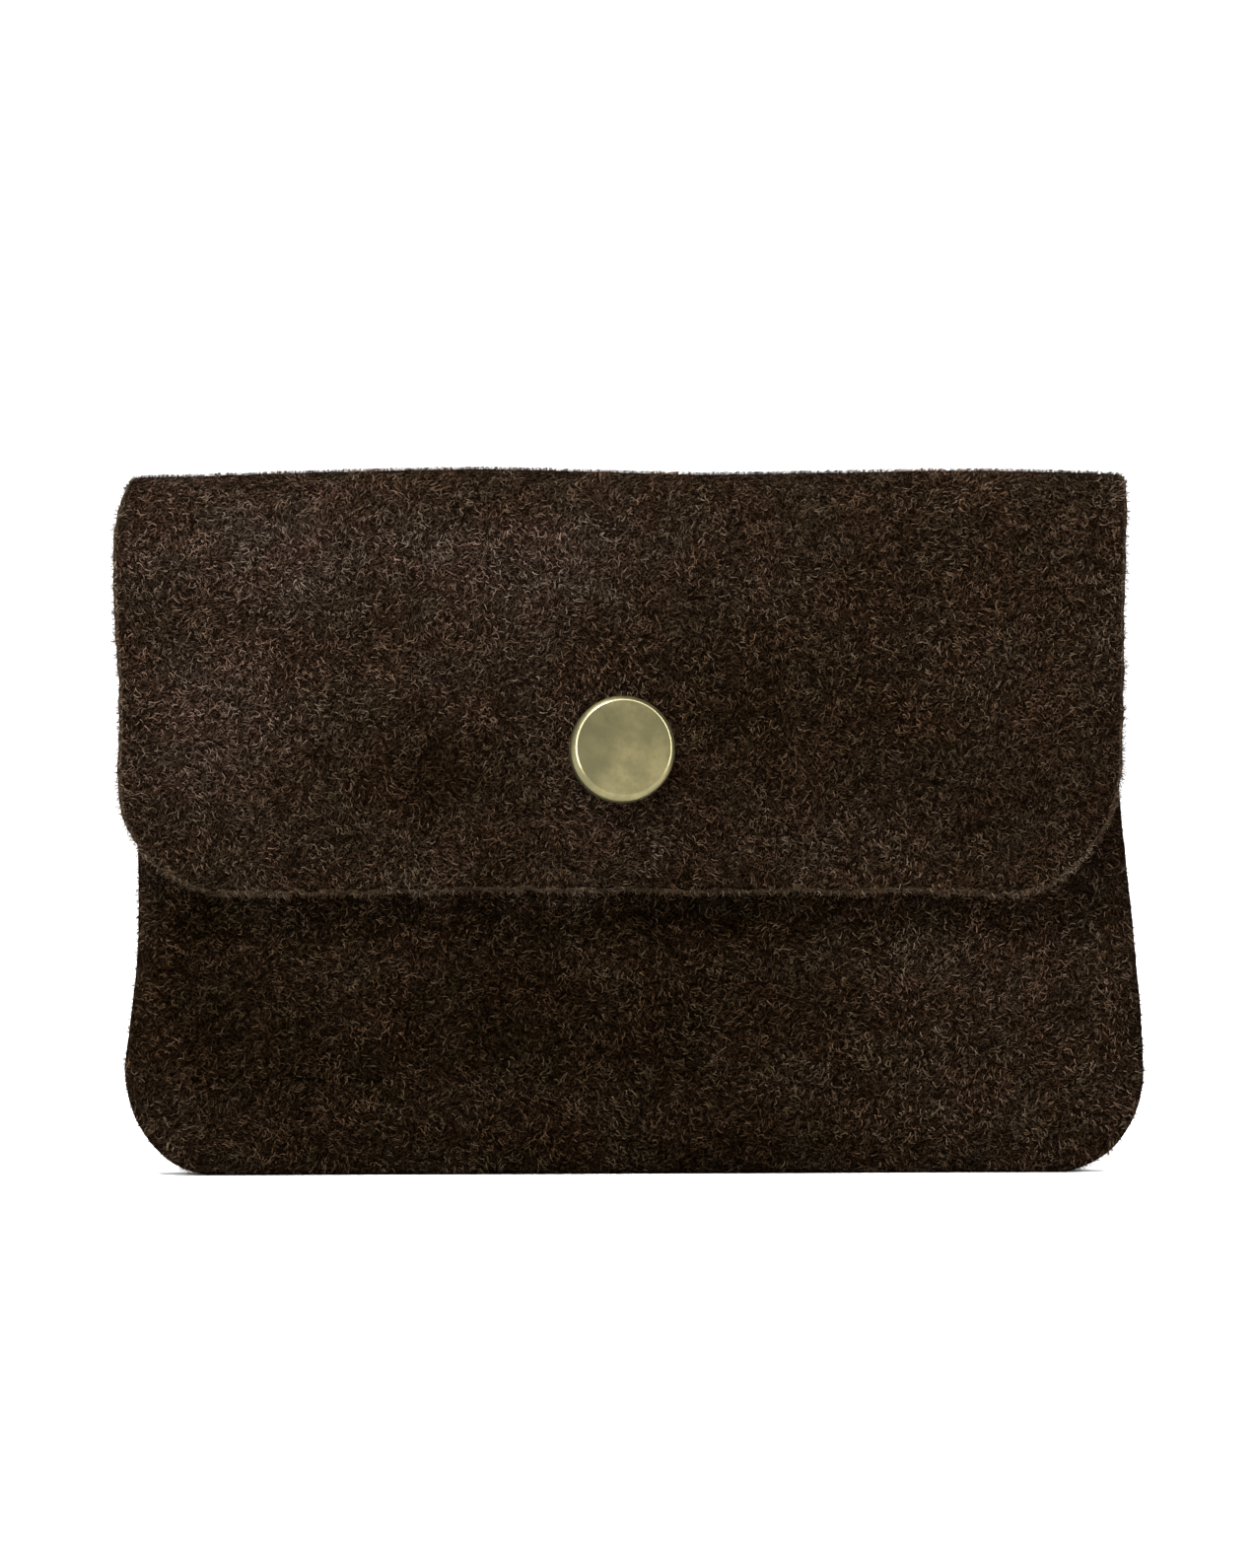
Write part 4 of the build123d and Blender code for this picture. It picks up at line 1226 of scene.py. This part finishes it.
# the zip's window in the lining: its sides as shares of the lining's width, then its bottom and top
WINDOW_MARGIN, WINDOW_BOTTOM, WINDOW_TOP = 1.6, 86.0, 94.0
STITCH_LOW, STITCH_HIGH = box_mm("zip_stitching")
LEFT_AT_ZIP, RIGHT_AT_ZIP = (float(x) for x in lining_limits(np.array((WINDOW_BOTTOM + WINDOW_TOP) / 2)))
WINDOW_SIDES = (STITCH_LOW[0] - WINDOW_MARGIN, STITCH_HIGH[0] + WINDOW_MARGIN)
WINDOW = [(x - LEFT_AT_ZIP) / (RIGHT_AT_ZIP - LEFT_AT_ZIP) for x in WINDOW_SIDES]
WINDOW += [WINDOW_BOTTOM, WINDOW_TOP]
CLOTHS = [
    (lining_half("front_lining", LINING_LOW[1], LINING_SEAM, MOUTH_Z - 0.5, None, 83), lining_cloth,
     "lining_front", "lining"),
    (lining_half("rear_lining", LINING_HIGH[1], LINING_SEAM, LINING_HIGH[2], WINDOW, 85), lining_cloth,
     "lining_rear", "lining"),
    (pocket_bag(), lining_cloth, "pocket_bag", "lining"),
    (zip_tape("upper_tape", "zip_tape_upper", -1), tape_cloth, "zip_tape_upper", "zip_tape"),
    (zip_tape("lower_tape", "zip_tape_lower", 1), tape_cloth, "zip_tape_lower", "zip_tape"),
    (mouth_stitches(), thread, "mouth_thread", "thread"),
]
for piece, material, node, slot in CLOTHS:
    piece.data.materials.append(material)
    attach(piece, "root")
    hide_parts(node)

METAL = [("zip_slider", "slider", 0.18), ("zip_pull", "pull", 0.14), ("snap_socket", "flap", 0.12),
         ("snap_stud", "root", 0.10), ("zip_bottom_stop", "root", 0.15), ("zip_top_stops", "root", 0.15)]
for node, body, width in METAL:
    piece = softened(node, width)
    piece.data.materials.append(brass)
    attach(piece, body)
    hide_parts(node)

CARRIED = {
    "seam_thread": thread, "zip_stitching": thread, "zip_teeth_upper": brass, "zip_teeth_lower": brass,
    "snap_post": brass, "snap_spring": steel,
}
for node, material in CARRIED.items():
    for material_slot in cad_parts[node].material_slots:
        material_slot.material = material
